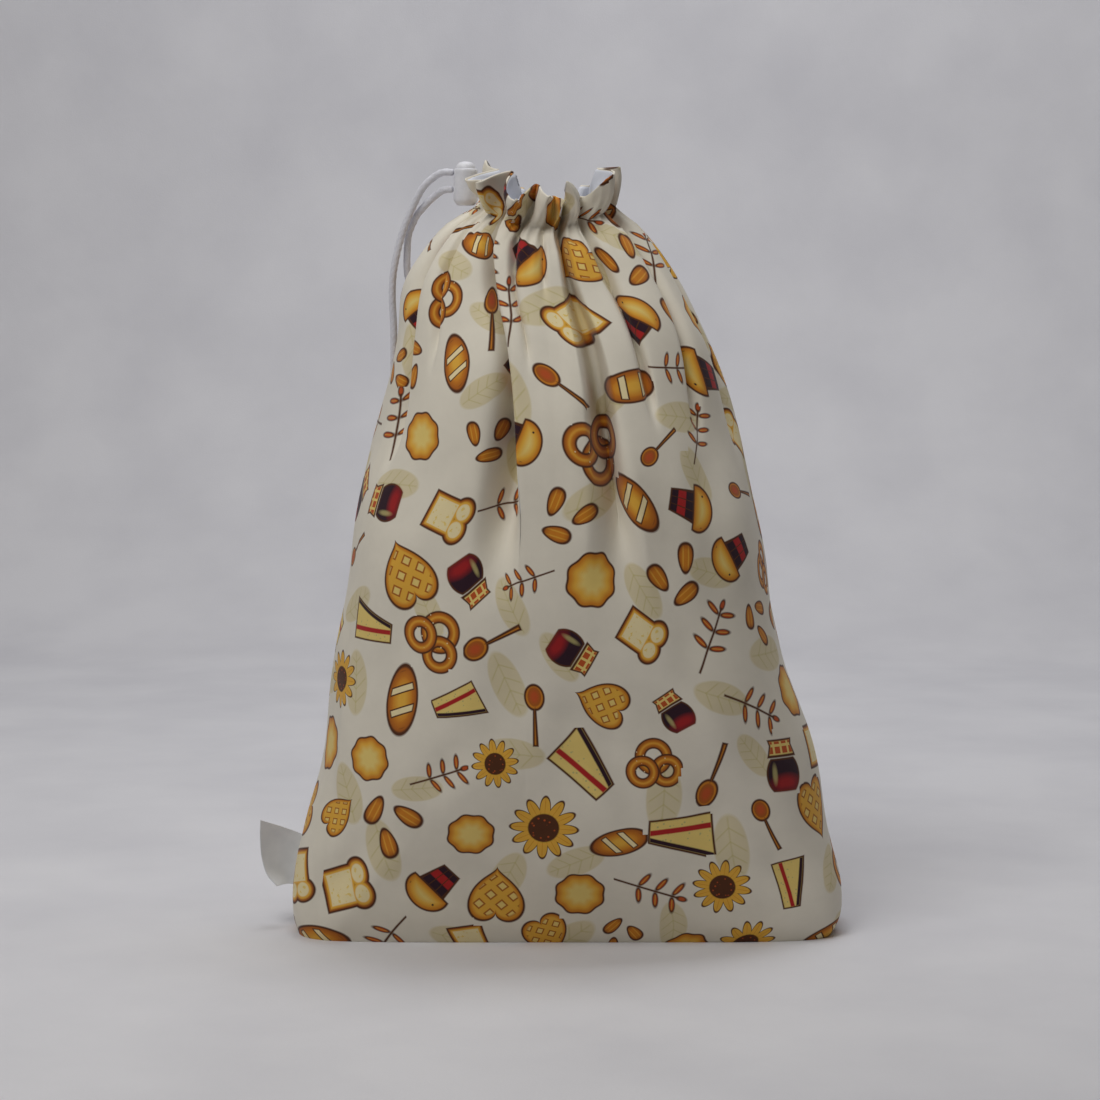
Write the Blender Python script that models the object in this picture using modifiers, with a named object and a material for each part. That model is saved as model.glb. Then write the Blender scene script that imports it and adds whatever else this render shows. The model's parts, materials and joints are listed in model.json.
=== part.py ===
"""Drawstring bread bag of printed cotton, lined, standing filled on its flat base.

Sizes are in millimetres until MM turns them into metres. X runs to the right of the front,
Y to the back and Z up. The floor is at Z = 0, under the middle of the base.

The cloth is one surface in two coordinates. Round the bag, a place is a turn in degrees of
the section's own length: 0 in the middle of the front, 90 at the right side seam. Upwards it
is the height. Folds push the surface inwards from the sections' outline.
"""
import math

import bmesh
import bpy
import numpy as np

MM = 0.001
GAP = 0.3

# Cloth.
CLOTH_THICK = 1.0
LINING_DEPTH = CLOTH_THICK + GAP

# The outline of the filled bag: one row for each height.
SECTION_COLUMNS = ("height", "left", "right", "front", "back", "squareness")
SECTIONS = (
    (0, -129, 127.5, -36, 36, 6.0),
    (6, -131, 131, -39, 39, 5.2),
    (24, -131, 133, -46, 45, 3.6),
    (50, -125.5, 125.5, -56, 55, 3.1),
    (80, -118, 119, -66, 65, 2.8),
    (120, -112.5, 109, -75, 74, 2.5),
    (160, -107, 99, -80, 78, 2.35),
    (205, -98.5, 90.5, -80, 76, 2.3),
    (250, -86.5, 77.5, -73, 69, 2.2),
    (285, -78, 65, -62, 59, 2.2),
    (310, -73.5, 52.5, -50, 48, 2.1),
    (328, -61, 39, -43, 42, 2.0),
    (338, -51, 29.5, -37, 37, 2.0),
    (347, -39.3, 23.5, -33, 34, 2.0),
    (358, -39, 24, -33, 34, 2.0),
    (375, -39.5, 27, -34, 35, 2.0),
)

# The folds that the drawn cord gathers: one row for each trough, going round to the right.
# Turns are at the cord and where the fold has run out, depths at the cord and at the fold's
# deepest, mouths at the cord and at the foot. Lean moves the bottom of the trough sideways
# under its neighbour. Edge is 1 for a soft roll into the trough and less for a crisp one.
# Rim and lobe are the heading's height above the cord in the trough and on the lobe to the
# right of it, and flare is how far that lobe stands out.
FOLD_COLUMNS = (
    "name", "turn_neck", "turn_foot", "foot", "depth_neck", "depth_mid",
    "mouth_neck", "mouth_foot", "lean", "edge", "rim", "lobe", "flare",
)
FOLDS = (
    ("strap_left", -71, -60, 215, 10, 13, 6, 24, 5, 0.8, 21, 18, 4),
    ("strap_inner", -50.5, -41, 285, 3.5, 4, 6, 12, 2, 1.0, 19, 19, 4),
    ("left_hollow", -30, -18, 165, 10, 20, 6.5, 26, 7, 0.7, 25, 10, 7),
    ("flute", -9, -4, 272, 6, 5, 5.5, 8, 0, 1.0, 19, 11, 5),
    ("front_hollow", 12, 17, 168, 10, 24, 6.5, 34, 8, 0.7, 10, 21, 4),
    ("strap_right_inner", 34, 34, 250, 9, 9, 5.5, 9, 4, 0.8, 14, 17, 3),
    ("strap_right_outer", 57, 45, 245, 11, 10, 7, 12, -4, 0.8, 21, 20, 4),
    ("right_shoulder", 84, 68, 225, 12, 13, 8, 26, 2, 0.9, 20, 20, 4),
    ("back_right", 112, 103, 200, 12, 17, 8, 38, 3, 0.9, 18, 16, 6),
    ("back_right_inner", 142, 140, 185, 12, 20, 8, 42, -4, 0.8, 19, 14, 6),
    ("back_middle", 176, 178, 205, 12, 16, 8, 38, 3, 0.9, 16, 15, 6),
    ("back_left_inner", 212, 214, 180, 12, 20, 8, 42, 4, 0.8, 20, 26, 5),
    ("back_left", 248, 250, 195, 12, 16, 8, 38, -3, 0.9, 23, 17, 1),
)
FOOT_OF_FOLDS = 165.0
CORD_LINE = 341.0
SADDLE = 5.5
SADDLE_FROM = 250.0
DEEPEST_AT = 0.45
LEAN_LOST = 0.9
CROWN = 0.05
HEADING = 22.0
PINCH = 3.0
PINCH_REACH = 7.0
FLOOR_RING = 0.5

# The cord lock: a cup with a sprung button in it, standing beside the heading.
LOCK_X = -47.8
LOCK_Y = 3.8
BARREL_LOW = 347.2
BARREL_HIGH = 365.2
BARREL_RADIUS = 5.7
BARREL_BEVEL = 1.8
BORE_RADIUS = 4.9
BORE_LOW = 350.2
RIM_BEVEL = 0.4
BUTTON_RADIUS = 4.6
BUTTON_HIGH = 367.9
BUTTON_DOME = 1.6
PRESS = 2.5
LOCK_STEPS = 24

# The two ends of the drawn cord, from the lock over the bag's left shoulder to their knot.
CORD_DIAMETER = 3.4
CORD_SPACING = 8.0
CORD_COLUMNS = ("x", "y", "z")
CORD_FRONT = (
    (-54.1, 3.8, 362.7), (-58.3, 4.1, 362.8), (-62.5, 6.5, 361), (-67.2, 8, 357), (-70.5, 10, 352.4),
    (-74, 12, 345.4), (-77.9, 14, 336.4), (-81, 16, 326), (-83.3, 18, 314.5), (-83.9, 20, 302.5),
    (-83.5, 24, 285.4), (-84.5, 33, 250), (-87, 43.5, 220), (-87, 53, 190), (-85.8, 60, 160),
    (-85.2, 64.2, 138), (-85.4, 66, 127.9),
)
CORD_REAR = (
    (-54.5, 3.8, 354.8), (-58.3, 4.5, 354.5), (-62.4, 8.5, 352), (-65.8, 11, 349.2), (-68.4, 13.5, 346.6),
    (-71.5, 15.5, 343.2), (-73.6, 17, 339.4), (-75.8, 18.5, 333.8), (-76.6, 20, 326), (-76.6, 22, 315),
    (-74.5, 27, 303), (-75.3, 33, 285), (-78.6, 42, 250), (-81, 51.5, 220), (-81, 60, 190),
    (-79, 65, 160), (-80, 67.2, 140), (-81.2, 67.2, 127.9),
)
KNOT_AT = (-83.3, 66.5, 122.0)
KNOT_PROFILE = (
    (0, 5.6), (2.6, 5.3), (3.9, 4.4), (4.2, 3.1), (3.9, 2.0), (4.7, 0.9), (4.9, -0.6), (4.3, -1.8),
    (4.5, -3.0), (4.0, -4.3), (2.6, -5.3), (0, -5.6),
)
TAIL_LENGTH = 15.0
TAIL_SPREAD = 14.0
TAIL_APART = 1.2

# The bare satin tab in the left side seam: one row from its top edge to its bottom edge.
TAB_COLUMNS = ("root_z", "outer_x", "outer_z", "outer_y", "bulge")
TAB = (
    (44.6, -147.5, 52.4, -5.0, 0.6),
    (38.0, -147.9, 44.0, -4.0, 1.0),
    (31.5, -147.3, 34.0, -3.5, 1.2),
    (25.0, -144.6, 26.0, -5.5, 1.6),
    (19.5, -139.5, 21.0, -9.0, 2.2),
)
TAB_THICK = 1.0
TAB_OFF = 0.35
TAB_STEPS = 5

# Rows and columns of the solids' mesh.
ROWS = (0, 6, 22, 52, 90, 130, 165, 190, 213, 235, 256, 275, 292, 307, 320, 331, 341)
HEADING_ROWS = (0.3, 0.65, 1.0)
TROUGH_STEPS = 4
PANEL_STEPS = 2
RING_STEPS = 720


def smooth_between(at, knots, values):
    """A cubic through the knots whose slope at each knot is the slope between its neighbours."""
    knots = np.asarray(knots, float)
    values = np.asarray(values, float)
    slope = np.gradient(values, knots)
    i = np.clip(np.searchsorted(knots, at, side="right") - 1, 0, len(knots) - 2)
    wide = knots[i + 1] - knots[i]
    t = (at - knots[i]) / wide
    return (
        (2 * t**3 - 3 * t**2 + 1) * values[i]
        + (t**3 - 2 * t**2 + t) * wide * slope[i]
        + (3 * t**2 - 2 * t**3) * values[i + 1]
        + (t**3 - t**2) * wide * slope[i + 1]
    )


def ease(t):
    """0 up to 0, 1 from 1 on, and a smooth step between."""
    t = np.clip(t, 0, 1)
    return t * t * (3 - 2 * t)


def column(name):
    return np.array([row[FOLD_COLUMNS.index(name)] for row in FOLDS], float)


class Section:
    """The bag's outline at one height: a squared ellipse, walked by its own length."""

    def __init__(self, height):
        table = np.array(SECTIONS, float)
        left, right, front, back, square = (
            smooth_between(height, table[:, 0], table[:, k]) for k in range(1, 6)
        )
        angle = np.linspace(0, 2 * math.pi, RING_STEPS + 1)
        across = np.sign(np.sin(angle)) * np.abs(np.sin(angle)) ** (2 / square)
        along = np.abs(np.cos(angle)) ** (2 / square)
        self.x = (left + right) / 2 + (right - left) / 2 * across
        self.y = np.where(np.cos(angle) > 0, front, back) * along
        walked = np.concatenate([[0], np.cumsum(np.hypot(np.diff(self.x), np.diff(self.y)))])
        self.length = walked[-1]
        self.turn = walked / self.length * 360

    def place(self, turn):
        """The outline's points at these turns."""
        turn = np.mod(turn, 360)
        return np.stack([np.interp(turn, self.turn, self.x), np.interp(turn, self.turn, self.y)])

    def outwards(self, turn):
        """The outline's directions straight out at these turns."""
        step = self.place(turn + 1.5) - self.place(turn - 1.5)
        step /= np.hypot(*step)
        return np.stack([step[1], -step[0]])


def cord_height(turn):
    """The gathered mouth is a saddle: it stands higher at the two side seams."""
    return CORD_LINE - SADDLE * np.cos(np.radians(2 * turn))


def round_the_bag(cloth, height, up=0.0):
    """Points of the outer cloth's face at one row.

    cloth counts the folds round the bag: its whole part is the fold, the first half of the
    rest crosses the trough and the second half the panel to the right of it. height is the
    row's level, and up is the share of the heading's height, from 0 at the cord to 1 at the rim.
    """
    fold = np.floor(cloth).astype(int) % len(FOLDS)
    after = (fold + 1) % len(FOLDS)
    part = cloth - np.floor(cloth)
    in_trough = part < 0.5
    across = np.where(in_trough, 4 * part - 1, 1.0)
    over = np.where(in_trough, 0.0, 2 * part - 1)

    section = Section(height + up * HEADING)
    degrees = 360 / section.length
    gathered = np.clip((height - FOOT_OF_FOLDS) / (CORD_LINE - FOOT_OF_FOLDS), 0, 1)
    middle = column("turn_foot") + (column("turn_neck") - column("turn_foot")) * gathered
    mouth = column("mouth_foot") + (column("mouth_neck") - column("mouth_foot")) * gathered
    half = mouth / 2 * degrees
    rise = np.clip((height - column("foot")) / (CORD_LINE - column("foot")), 0, 1)
    deep = column("depth_mid") * ease(rise / DEEPEST_AT)
    deep += (column("depth_neck") - column("depth_mid")) * ease((rise - DEEPEST_AT) / (1 - DEEPEST_AT))

    trough = (0.5 + 0.5 * np.cos(math.pi * across)) ** column("edge")[fold]
    start = (middle + half)[fold]
    end = (middle - half)[after] + np.where(after < fold, 360, 0)
    leaning = ease(rise / DEEPEST_AT) * (1 - LEAN_LOST * ease((rise - DEEPEST_AT) / (1 - DEEPEST_AT)))
    leaned = (column("lean") * leaning)[fold] * degrees * trough
    turn = np.where(in_trough, middle[fold] + half[fold] * across + leaned, start + (end - start) * over)

    def of_lobe(name):
        """This column of the lobe that the point is on: the fold before's, left of a trough's middle."""
        value = column(name)
        return np.where(in_trough & (across < 0), np.roll(value, 1)[fold], value[fold])

    arch = np.where(in_trough, 0.0, np.sin(math.pi * over))
    ridge = np.where(in_trough, 1 - trough, 1.0)
    trough = np.where(in_trough, trough, 0.0)
    crown = CROWN * (end - start) / degrees * gathered * arch
    flare = of_lobe("flare") * ridge * (0.5 + 0.5 * arch) * ease(up)
    pinched = PINCH * np.exp(-(((height + up * HEADING - CORD_LINE) / PINCH_REACH) ** 2)) * ridge
    outwards = crown + flare - pinched - deep[fold] * trough

    raised = cord_height(turn) - CORD_LINE
    z = height + raised * ease((height - SADDLE_FROM) / (CORD_LINE - SADDLE_FROM))
    z += up * (column("rim")[fold] * trough + of_lobe("lobe") * ridge)
    xy = section.place(turn) + section.outwards(turn) * outwards
    return np.stack([xy[0], xy[1], z], axis=1)


def cloth_columns():
    """The cloth coordinate of each column: even steps over each trough and each panel."""
    trough = np.arange(TROUGH_STEPS) / TROUGH_STEPS / 2
    panel = 0.5 + np.arange(PANEL_STEPS) / PANEL_STEPS / 2
    return np.concatenate([k + np.concatenate([trough, panel]) for k in range(len(FOLDS))])


def bag_surface():
    """The outer face of the bag as rows of points, from the floor up to the heading's rim."""
    cloth = cloth_columns()
    rows = [round_the_bag(cloth, height) for height in ROWS]
    rows += [round_the_bag(cloth, CORD_LINE, up) for up in HEADING_ROWS]
    return np.array(rows)


def inside(rows, depth):
    """The surface that lies depth inside these rows, straight in from each point.

    The way out at a point is square to the line between its neighbours in the row and to the
    line between its neighbours in the column, so that it halves the angle of a fold.
    """
    along = np.roll(rows, -1, axis=1) - np.roll(rows, 1, axis=1)
    below = rows[0] * (FLOOR_RING, FLOOR_RING, 1)
    column_of = np.concatenate([below[None], rows, (2 * rows[-1] - rows[-2])[None]])
    out = np.cross(along, column_of[2:] - column_of[:-2])
    out /= np.linalg.norm(out, axis=2, keepdims=True)
    return rows - depth * out


def shell_mesh(name, outer, inner):
    """A closed wall between two faces of the bag, each a flat base and rows of points above it."""
    mesh = bmesh.new()
    rims = []
    for rows, faces_out in ((outer, True), (inner, False)):
        floor = rows[0] * (FLOOR_RING, FLOOR_RING, 1)
        grid = [[mesh.verts.new(p * MM) for p in row] for row in np.concatenate([floor[None], rows])]
        base = mesh.faces.new(grid[0][::-1] if faces_out else grid[0])
        bmesh.ops.triangulate(mesh, faces=[base])
        for low, high in zip(grid, grid[1:]):
            join_rows(mesh, low, high, faces_out)
        rims.append(grid[-1])
    join_rows(mesh, rims[0], rims[1], True)
    data = bpy.data.meshes.new(name)
    mesh.to_mesh(data)
    mesh.free()
    return data


def join_rows(mesh, low, high, faces_out):
    """Two triangles between each pair of neighbours in two closed rows."""
    ring = len(low)
    for c in range(ring):
        d = (c + 1) % ring
        for corners in ((low[c], low[d], high[d]), (low[c], high[d], high[c])):
            mesh.faces.new(corners if faces_out else corners[::-1])


def material(name, colour, roughness, metallic=0.0):
    made = bpy.data.materials.new(name)
    made.use_nodes = True
    shader = made.node_tree.nodes["Principled BSDF"]
    shader.inputs["Base Color"].default_value = (*colour, 1.0)
    shader.inputs["Roughness"].default_value = roughness
    shader.inputs["Metallic"].default_value = metallic
    made.diffuse_color = (*colour, 1.0)
    return made


def add(collection, name, data, finish):
    made = bpy.data.objects.new(name, data)
    data.materials.append(finish)
    collection.objects.link(made)
    return made


def sheet(collection, name, rows, finish, depth):
    """A cloth of the sheet's thickness whose outer face lies depth inside the surface."""
    outer = inside(rows, depth)
    inner = inside(rows, depth + CLOTH_THICK)
    return add(collection, name, shell_mesh(name, outer, inner), finish)


def turned(name, profile, steps):
    """The profile, from its top to its bottom at +X, turned about Z."""
    data = bpy.data.meshes.new(name)
    points = [(radius * MM, 0, height * MM) for radius, height in profile]
    data.from_pydata(points, [(k, k + 1) for k in range(len(points) - 1)], [])
    made = bpy.data.objects.new(name, data)
    screw = made.modifiers.new("turn", "SCREW")
    screw.steps = screw.render_steps = steps
    screw.use_merge_vertices = True
    screw.merge_threshold = 0.00001
    screw.use_smooth_shade = True
    return made


def place(collection, made, finish, at=(0, 0, 0)):
    made.location = [c * MM for c in at]
    made.data.materials.append(finish)
    collection.objects.link(made)
    return made


def lock_barrel():
    """The cup: its rim, its wall outside, its floor, and back up inside the bore."""
    high, low, radius = BARREL_HIGH, BARREL_LOW, BARREL_RADIUS
    profile = (
        (0, BORE_LOW), (BORE_RADIUS, BORE_LOW), (BORE_RADIUS, high - RIM_BEVEL),
        (BORE_RADIUS + RIM_BEVEL / 2, high), (radius - RIM_BEVEL, high), (radius, high - RIM_BEVEL),
        (radius, low + BARREL_BEVEL), (radius - BARREL_BEVEL, low), (0, low),
    )
    return turned("lock_barrel", profile, LOCK_STEPS)


def lock_button():
    """The plunger, clear of the bore's floor by its travel, with a domed end to press."""
    low = BORE_LOW + PRESS + GAP
    radius = BUTTON_RADIUS
    profile = (
        (0, BUTTON_HIGH), (radius * 0.55, BUTTON_HIGH - BUTTON_DOME * 0.15),
        (radius * 0.85, BUTTON_HIGH - BUTTON_DOME * 0.5), (radius, BUTTON_HIGH - BUTTON_DOME),
        (radius, low + RIM_BEVEL), (radius - RIM_BEVEL, low), (0, low),
    )
    return turned("lock_button", profile, LOCK_STEPS)


def smooth_route(points, spacing):
    """Even points along a smooth curve through the route's own points."""
    points = np.array(points, float)
    knots = np.arange(len(points))
    fine = np.linspace(0, len(points) - 1, 12 * len(points))
    curve = np.stack([smooth_between(fine, knots, points[:, k]) for k in range(3)], axis=1)
    walked = np.concatenate([[0], np.cumsum(np.linalg.norm(np.diff(curve, axis=0), axis=1))])
    even = np.linspace(0, walked[-1], int(round(walked[-1] / spacing)) + 1)
    return np.stack([np.interp(even, walked, curve[:, k]) for k in range(3)], axis=1)


def cord(name, points):
    """A round cord along a route."""
    data = bpy.data.curves.new(name, "CURVE")
    data.dimensions = "3D"
    data.bevel_depth = CORD_DIAMETER / 2 * MM
    data.bevel_resolution = 2
    data.use_fill_caps = True
    route = smooth_route(points, CORD_SPACING)
    spline = data.splines.new("POLY")
    spline.points.add(len(route) - 1)
    spline.points.foreach_set("co", np.column_stack([route * MM, np.ones(len(route))]).ravel())
    spline.use_smooth = True
    return bpy.data.objects.new(name, data)


def knot(cutters):
    """The overhand knot's lump with the two cut ends that leave it downwards."""
    made = turned("cord_knot", KNOT_PROFILE, LOCK_STEPS)
    for side in (-1, 1):
        tail = bpy.data.meshes.new("tail")
        shape = bmesh.new()
        bmesh.ops.create_cone(
            shape, cap_ends=True, segments=10, radius1=CORD_DIAMETER / 2 * MM,
            radius2=CORD_DIAMETER / 2 * MM, depth=TAIL_LENGTH * MM,
        )
        shape.to_mesh(tail)
        shape.free()
        piece = bpy.data.objects.new("tail", tail)
        lean = math.radians(TAIL_SPREAD)
        piece.rotation_euler = (0, -side * lean, 0)
        piece.location = (
            (KNOT_AT[0] + side * (TAIL_APART + TAIL_LENGTH / 2 * math.sin(lean))) * MM,
            KNOT_AT[1] * MM,
            (KNOT_AT[2] - TAIL_LENGTH / 2 * math.cos(lean)) * MM,
        )
        piece.hide_render = True
        piece.display_type = "WIRE"
        cutters.objects.link(piece)
        join = made.modifiers.new("tail", "BOOLEAN")
        join.operation = "UNION"
        join.solver = "EXACT"
        join.object = piece
    return made


def label_tab():
    """A ribbon tab from the seam outwards, its lower corner curling to the front."""
    table = np.array(TAB, float)
    root_z, outer_x, outer_z, outer_y, bulge = table.T
    sides = [round_the_bag(cloth_columns(), height)[:, 0].min() for height in ROWS]
    root_x = np.interp(root_z, ROWS, sides) - TAB_OFF
    out = np.linspace(0, 1, TAB_STEPS)[:, None]
    x = root_x + (outer_x - root_x) * out
    y = outer_y * out**1.5 + bulge * np.sin(math.pi * out)
    z = root_z + (outer_z - root_z) * out
    corners = np.stack([x, y, z], axis=2).reshape(-1, 3) * MM
    down = len(TAB)
    faces = [
        (k * down + j, k * down + j + 1, (k + 1) * down + j + 1, (k + 1) * down + j)
        for k in range(TAB_STEPS - 1) for j in range(down - 1)
    ]
    data = bpy.data.meshes.new("label_tab")
    data.from_pydata(corners.tolist(), [], faces)
    made = bpy.data.objects.new("label_tab", data)
    thick = made.modifiers.new("thick", "SOLIDIFY")
    thick.thickness = TAB_THICK * MM
    thick.offset = 0
    return made


def clear_scene():
    for old in list(bpy.data.objects):
        bpy.data.objects.remove(old, do_unlink=True)


def build():
    clear_scene()
    bag = bpy.data.collections.new("bread_bag")
    cutters = bpy.data.collections.new("cutters")
    for made in (bag, cutters):
        bpy.context.scene.collection.children.link(made)
    cotton = material("printed_cotton", (0.86, 0.82, 0.73), 0.85)
    white = material("white_lining", (0.88, 0.9, 0.93), 0.8)
    satin = material("satin_ribbon", (0.86, 0.84, 0.8), 0.45)
    cotton_cord = material("cotton_cord", (0.85, 0.82, 0.76), 0.85)
    plastic = material("moulded_plastic", (0.83, 0.81, 0.76), 0.4)
    rows = bag_surface()
    sheet(bag, "outer_bag", rows, cotton, 0.0)
    sheet(bag, "lining", rows, white, LINING_DEPTH)
    place(bag, label_tab(), satin)
    place(bag, cord("cord_end_front", CORD_FRONT), cotton_cord)
    place(bag, cord("cord_end_rear", CORD_REAR), cotton_cord)
    place(bag, knot(cutters), cotton_cord, KNOT_AT)
    place(bag, lock_barrel(), plastic, (LOCK_X, LOCK_Y, 0))
    place(bag, lock_button(), plastic, (LOCK_X, LOCK_Y, 0))


build()
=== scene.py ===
"""A drawstring bread bag of printed cotton with a white lining, standing filled on its base.

Lengths in the tables and functions are millimetres, and MM turns them into metres. X runs to
the right of the front, Y to the back and Z up. The cloth is one surface in two coordinates: a
turn round the bag, in degrees of each level's own outline, and a height. Troughs push it
inwards. The print lies on the cloth's own lengths, U round the bag and V up it.
"""

import json
import math

import bpy
import numpy as np
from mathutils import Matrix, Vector

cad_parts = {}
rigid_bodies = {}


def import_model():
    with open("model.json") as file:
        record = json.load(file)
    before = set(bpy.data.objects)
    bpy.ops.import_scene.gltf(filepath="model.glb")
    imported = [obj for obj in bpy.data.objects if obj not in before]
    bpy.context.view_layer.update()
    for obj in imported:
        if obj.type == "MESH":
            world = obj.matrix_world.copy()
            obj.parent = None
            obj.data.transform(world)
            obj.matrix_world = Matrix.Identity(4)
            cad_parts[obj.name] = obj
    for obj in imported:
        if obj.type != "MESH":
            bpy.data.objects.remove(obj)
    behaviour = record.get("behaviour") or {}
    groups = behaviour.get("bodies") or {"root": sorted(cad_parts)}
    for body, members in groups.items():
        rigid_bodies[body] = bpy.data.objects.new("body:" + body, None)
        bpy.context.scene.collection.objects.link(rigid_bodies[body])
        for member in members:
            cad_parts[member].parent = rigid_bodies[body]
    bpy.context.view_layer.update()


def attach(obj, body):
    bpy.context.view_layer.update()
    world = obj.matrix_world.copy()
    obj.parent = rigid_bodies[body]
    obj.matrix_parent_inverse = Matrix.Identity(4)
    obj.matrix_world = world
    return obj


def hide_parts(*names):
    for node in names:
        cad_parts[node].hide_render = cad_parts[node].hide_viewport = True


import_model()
MM = 0.001


def linear(red, green, blue):
    """A screen colour from 0 to 255 as the light it stands for."""
    c = np.array([red, green, blue]) / 255
    return tuple(np.where(c <= 0.04045, c / 12.92, ((c + 0.055) / 1.055) ** 2.4))


# Colours of the cloths, the cord, the lock and the floor, most with the shade of their clouds.
CREAM = linear(231, 225, 210)
LINING_WHITE = linear(232, 235, 243)
LINING_SHADE = linear(222, 226, 238)
CORD_WHITE = linear(232, 233, 241)
CORD_SHADE = linear(214, 215, 226)
PLASTIC_WHITE = linear(236, 237, 243)
PLASTIC_SHADE = linear(224, 225, 232)
SATIN_WHITE = linear(222, 224, 228)
SATIN_SHADE = linear(208, 211, 216)
FLOOR_PAINT = linear(226, 226, 230)
FLOOR_SHADE = linear(216, 216, 221)
# Colours of the print.
UMBER = linear(84, 46, 22)
CRUST = linear(168, 92, 28)
ORANGE = linear(206, 128, 34)
GOLD = linear(230, 176, 66)
STRAW = linear(233, 206, 122)
CRUMB = linear(240, 224, 176)
KHAKI = linear(196, 184, 122)
PLUM = linear(46, 20, 34)
RED = linear(176, 34, 34)
RUST = linear(190, 84, 36)
GHOST = linear(214, 200, 158)

# The camera, the stage and the light.

AIM = (-7.7, 0.0, 183.0)
CAMERA_RISE = 5.5
CAMERA_DISTANCE = 1250.0
LENS = 85.22
SENSOR = 36
STAGE_HALF = 2600.0
WALL_AT = 900.0
WALL_BEND = 500.0
BEND_STEPS = 25
# Each lamp's name, x, y, z, size, watts and colour.
LIGHTS = (
    ("window", -480, -680, 1270, 620, 8.0, 1.0, 0.99, 0.97),
    ("wall_lamp", 200, 250, 1700, 900, 13, 0.96, 0.97, 1.0),
)
WALL_AIM = (0, 1400, 500)
BAG_AIM = (0, 0, 150)
SKY = linear(255, 238, 214)
SKY_STRENGTH = 0.075


def look_at(made, at, target):
    made.location = Vector(at) * MM
    made.rotation_euler = (Vector(target) - Vector(at)).to_track_quat("-Z", "Y").to_euler()
    bpy.context.scene.collection.objects.link(made)


def camera():
    rise = math.radians(CAMERA_RISE)
    lens = bpy.data.cameras.new("camera")
    lens.sensor_width = SENSOR
    lens.lens = LENS
    made = bpy.data.objects.new("camera", lens)
    back = CAMERA_DISTANCE * math.cos(rise)
    look_at(made, (AIM[0], -back, AIM[2] + CAMERA_DISTANCE * math.sin(rise)), AIM)
    bpy.context.scene.camera = made


def lights():
    for name, x, y, z, size, watts, *colour in LIGHTS:
        lamp = bpy.data.lights.new(name, "AREA")
        lamp.size = size * MM
        lamp.energy = watts
        lamp.color = colour
        look_at(bpy.data.objects.new(name, lamp), (x, y, z), WALL_AIM if name == "wall_lamp" else BAG_AIM)
    world = bpy.data.worlds.new("room_light")
    bpy.context.scene.world = world
    world.use_nodes = True
    sky = world.node_tree.nodes["Background"]
    sky.inputs["Color"].default_value = (*SKY, 1)
    sky.inputs["Strength"].default_value = SKY_STRENGTH


def stage():
    """The floor, which bends up into the wall: straight, a quarter circle, straight."""
    bend = np.radians(np.linspace(0, 90, BEND_STEPS))
    y = np.concatenate([[-STAGE_HALF], WALL_AT + WALL_BEND * np.sin(bend), [WALL_AT + WALL_BEND]])
    z = np.concatenate([[0], WALL_BEND * (1 - np.cos(bend)), [STAGE_HALF]])
    x = np.array([-STAGE_HALF, STAGE_HALF])
    grid = np.stack(np.broadcast_arrays(x[None, :], y[:, None], z[:, None]), axis=2)
    made = grid_object("floor", grid, closed=False)
    paint, tree, at, _ = cloudy_material("floor_paint", FLOOR_PAINT, FLOOR_SHADE, 0.8, (9.0, 5.0, 0.35, 0.7))
    bump(tree, noise(tree, at, 700.0, 3.0), 0.25, 0.0004)
    made.data.materials.append(paint)


# The materials.

class Value:
    """A number at each point of a surface. Arithmetic on it adds Math nodes to its material."""

    def __init__(self, tree, socket):
        self.tree, self.socket = tree, socket

    def do(self, operation, *others, clamp=False):
        node = self.tree.nodes.new("ShaderNodeMath")
        node.operation = operation
        node.use_clamp = clamp
        for slot, value in zip(node.inputs, (self, *others)):
            if isinstance(value, Value):
                self.tree.links.new(value.socket, slot)
            else:
                slot.default_value = value
        return Value(self.tree, node.outputs[0])

    def __add__(self, other):
        return self.do("ADD", other)

    def __sub__(self, other):
        return self.do("SUBTRACT", other)

    def __mul__(self, other):
        return self.do("MULTIPLY", other)

    def __truediv__(self, other):
        return self.do("DIVIDE", other)

    def __neg__(self):
        return self.do("MULTIPLY", -1.0)

    def __abs__(self):
        return self.do("ABSOLUTE")

    def __or__(self, other):
        """Inside either shape: the smaller distance."""
        return self.do("MINIMUM", other)

    def __and__(self, other):
        """Inside both shapes: the larger distance."""
        return self.do("MAXIMUM", other)

    def cover(self, soft=0.03):
        """1 where the distance is below 0 and 0 above, with a soft edge."""
        return self.do("MULTIPLY_ADD", -1.0 / soft, 0.5, clamp=True)

    def smooth(self, low, high):
        """0 below low, 1 above high."""
        return self.do("SUBTRACT", low).do("DIVIDE", high - low, clamp=True)

    def wave(self, count):
        """Distance from the middle of each of count bands in a unit, in bands."""
        return abs(self.do("MULTIPLY", count).do("FRACT") - 0.5)


def vector(x, y, z=0.0):
    node = x.tree.nodes.new("ShaderNodeCombineXYZ")
    for slot, value in zip(node.inputs, (x, y, z)):
        if isinstance(value, Value):
            x.tree.links.new(value.socket, slot)
        else:
            slot.default_value = value
    return node.outputs[0]


def length(x, y):
    node = x.tree.nodes.new("ShaderNodeVectorMath")
    node.operation = "LENGTH"
    x.tree.links.new(vector(x, y), node.inputs[0])
    return Value(x.tree, node.outputs["Value"])


def split(tree, socket):
    node = tree.nodes.new("ShaderNodeSeparateXYZ")
    tree.links.new(socket, node.inputs[0])
    return [Value(tree, out) for out in node.outputs]


def attribute(tree, name):
    node = tree.nodes.new("ShaderNodeAttribute")
    node.attribute_name = name
    return node.outputs["Vector"]


def coordinates(tree):
    return tree.nodes.new("ShaderNodeTexCoord").outputs["Object"]


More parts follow.
